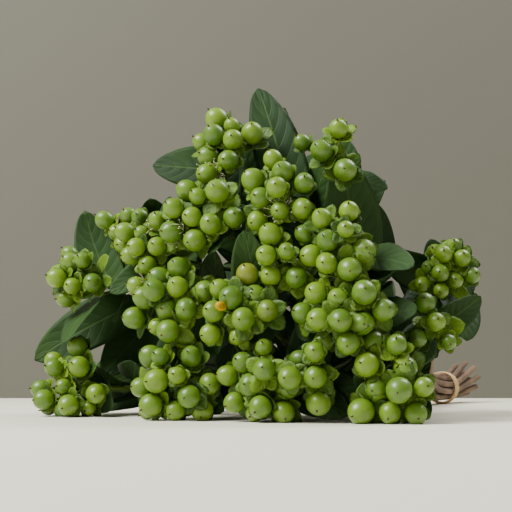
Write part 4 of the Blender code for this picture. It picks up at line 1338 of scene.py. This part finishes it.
def rubberPart():
    # one closed strand that goes three times round, drifts from side to side as cos(angle / 3), and
    # rises as sin(angle / 3) so that it passes over itself
    phi = np.arange(rubberShape["steps"]) / rubberShape["steps"] * 6 * math.pi
    sideways = rubberShape["spread"] * np.cos(phi / 3)
    sideways = sideways + rubberShape["slant"] * np.sin(phi + rubberShape["phase"])
    lap = rubberShape["lap"] * (1 + np.sin(phi / 3))
    ring = bandRing - bunch["bandRadius"] + rubberShape["halfHeight"] + lap
    outward = np.stack([np.cos(phi), 0 * phi, np.sin(phi)], axis=1)
    middle = tie + ring[:, None] * outward + sideways[:, None] * np.array([0.0, 1.0, 0.0])
    heading = unit(np.roll(middle, -1, axis=0) - np.roll(middle, 1, axis=0))
    across = unit(np.cross(heading, outward))
    turn = (np.arange(rubberShape["sides"]) / rubberShape["sides"] * 2 * math.pi)[None, :, None]
    points = middle[:, None] + rubberShape["halfWidth"] * np.cos(turn) * across[:, None]
    points = points + rubberShape["halfHeight"] * np.sin(turn) * outward[:, None]
    faces = gridFaces(rubberShape["steps"] + 1, rubberShape["sides"], wrap=True)
    faces = faces % (rubberShape["steps"] * rubberShape["sides"])
    return points.reshape(-1, 3), faces, noTriangles, {"along": 0.0}


makePiece("rubberBand", rubberPart(), finishes["rubber"], ["tie_band"])


# Table, wall, light and camera

stage = {
    "heading": 24.5,
    "pitch": 4.4926,
    "camera": (301.2, -632.0, 28.5),
    "focal": 1400.0,
    "wallAway": 1247.0,
    "table": (0.88, 0.845, 0.67),
    "wall": (0.124, 0.120, 0.093),
    "world": (0.95, 0.97, 1.0),
    "fill": 0.33,
    "keyPlace": (-0.75, -0.45, 1.0),
    "keySize": 0.75,
    "keyPower": 37.0,
    "backPlace": (0.55, 0.45, 0.75),
    "backSize": 0.6,
    "backPower": 15.0,
    "target": (0.0, -0.15, 0.08),
    "tableHalf": 3.0,
    "wallHalf": 1.5,
    "wallHeight": 1.6,
    "pictureWidth": 512,
    "sensor": 36.0,
}

print("stage")
heading = math.radians(stage["heading"])
ahead = np.array([-math.sin(heading), math.cos(heading), 0.0])
right = np.array([math.cos(heading), math.sin(heading), 0.0])
up = np.array([0.0, 0.0, 1.0])
cameraPlace = (np.array(stage["camera"]) + shift) * 0.001


def flatPiece(name, corners, material):
    mesh = bpy.data.meshes.new(name)
    mesh.from_pydata([tuple(corner) for corner in corners], [], [(0, 1, 2, 3)])
    mesh.materials.append(material)
    piece = bpy.data.objects.new(name, mesh)
    bpy.context.scene.collection.objects.link(piece)


def paintedMaterial(name, colour, roughness, seenFromBehind=True):
    material, maker, shader = newMaterial(name, roughness)
    shader.inputs["Base Color"].default_value = (*colour, 1.0)
    if not seenFromBehind:
        kinds = "ShaderNodeNewGeometry", "ShaderNodeBsdfTransparent", "ShaderNodeMixShader"
        facing, clear, mixed = (maker.nodes.new(kind) for kind in kinds)
        outputs = facing.outputs["Backfacing"], shader.outputs[0], clear.outputs[0]
        for output, socket in zip(outputs, mixed.inputs):
            maker.links.new(output, socket)
        maker.links.new(mixed.outputs[0], maker.nodes["Material Output"].inputs["Surface"])
    return material


half = stage["tableHalf"]
corners = [(-half, -half, 0), (half, -half, 0), (half, half, 0), (-half, half, 0)]
flatPiece("table", corners, paintedMaterial("tablePaint", stage["table"], 0.55))
foot = cameraPlace * (1, 1, 0) + ahead * stage["wallAway"] * 0.001
side, top = right * stage["wallHalf"], up * stage["wallHeight"]
corners = [foot - side, foot + side, foot + side + top, foot - side + top]
flatPiece("wall", corners, paintedMaterial("wallPaint", stage["wall"], 0.8, seenFromBehind=False))

world = bpy.data.worlds.new("room")
world.use_nodes = True
background = world.node_tree.nodes["Background"]
background.inputs["Color"].default_value = (*stage["world"], 1.0)
background.inputs["Strength"].default_value = stage["fill"]
bpy.context.scene.world = world

target = np.array(stage["target"])
for name in ("key", "back"):
    lamp = bpy.data.lights.new(name, "AREA")
    lamp.shape = "DISK"
    lamp.size = stage[name + "Size"]
    lamp.energy = stage[name + "Power"]
    light = bpy.data.objects.new(name, lamp)
    away = np.array(stage[name + "Place"]) @ np.stack([right, ahead, up])
    light.location = target + away
    light.rotation_euler = mathutils.Vector(-away).to_track_quat("-Z", "Y").to_euler()
    bpy.context.scene.collection.objects.link(light)

lens = bpy.data.cameras.new("camera")
lens.sensor_width = stage["sensor"]
lens.lens = stage["focal"] / stage["pictureWidth"] * stage["sensor"]
camera = bpy.data.objects.new("camera", lens)
camera.location = cameraPlace
pitch = math.radians(stage["pitch"])
view = ahead * math.cos(pitch) + up * math.sin(pitch)
camera.rotation_euler = mathutils.Vector(view).to_track_quat("-Z", "Y").to_euler()
bpy.context.scene.collection.objects.link(camera)
bpy.context.scene.camera = camera
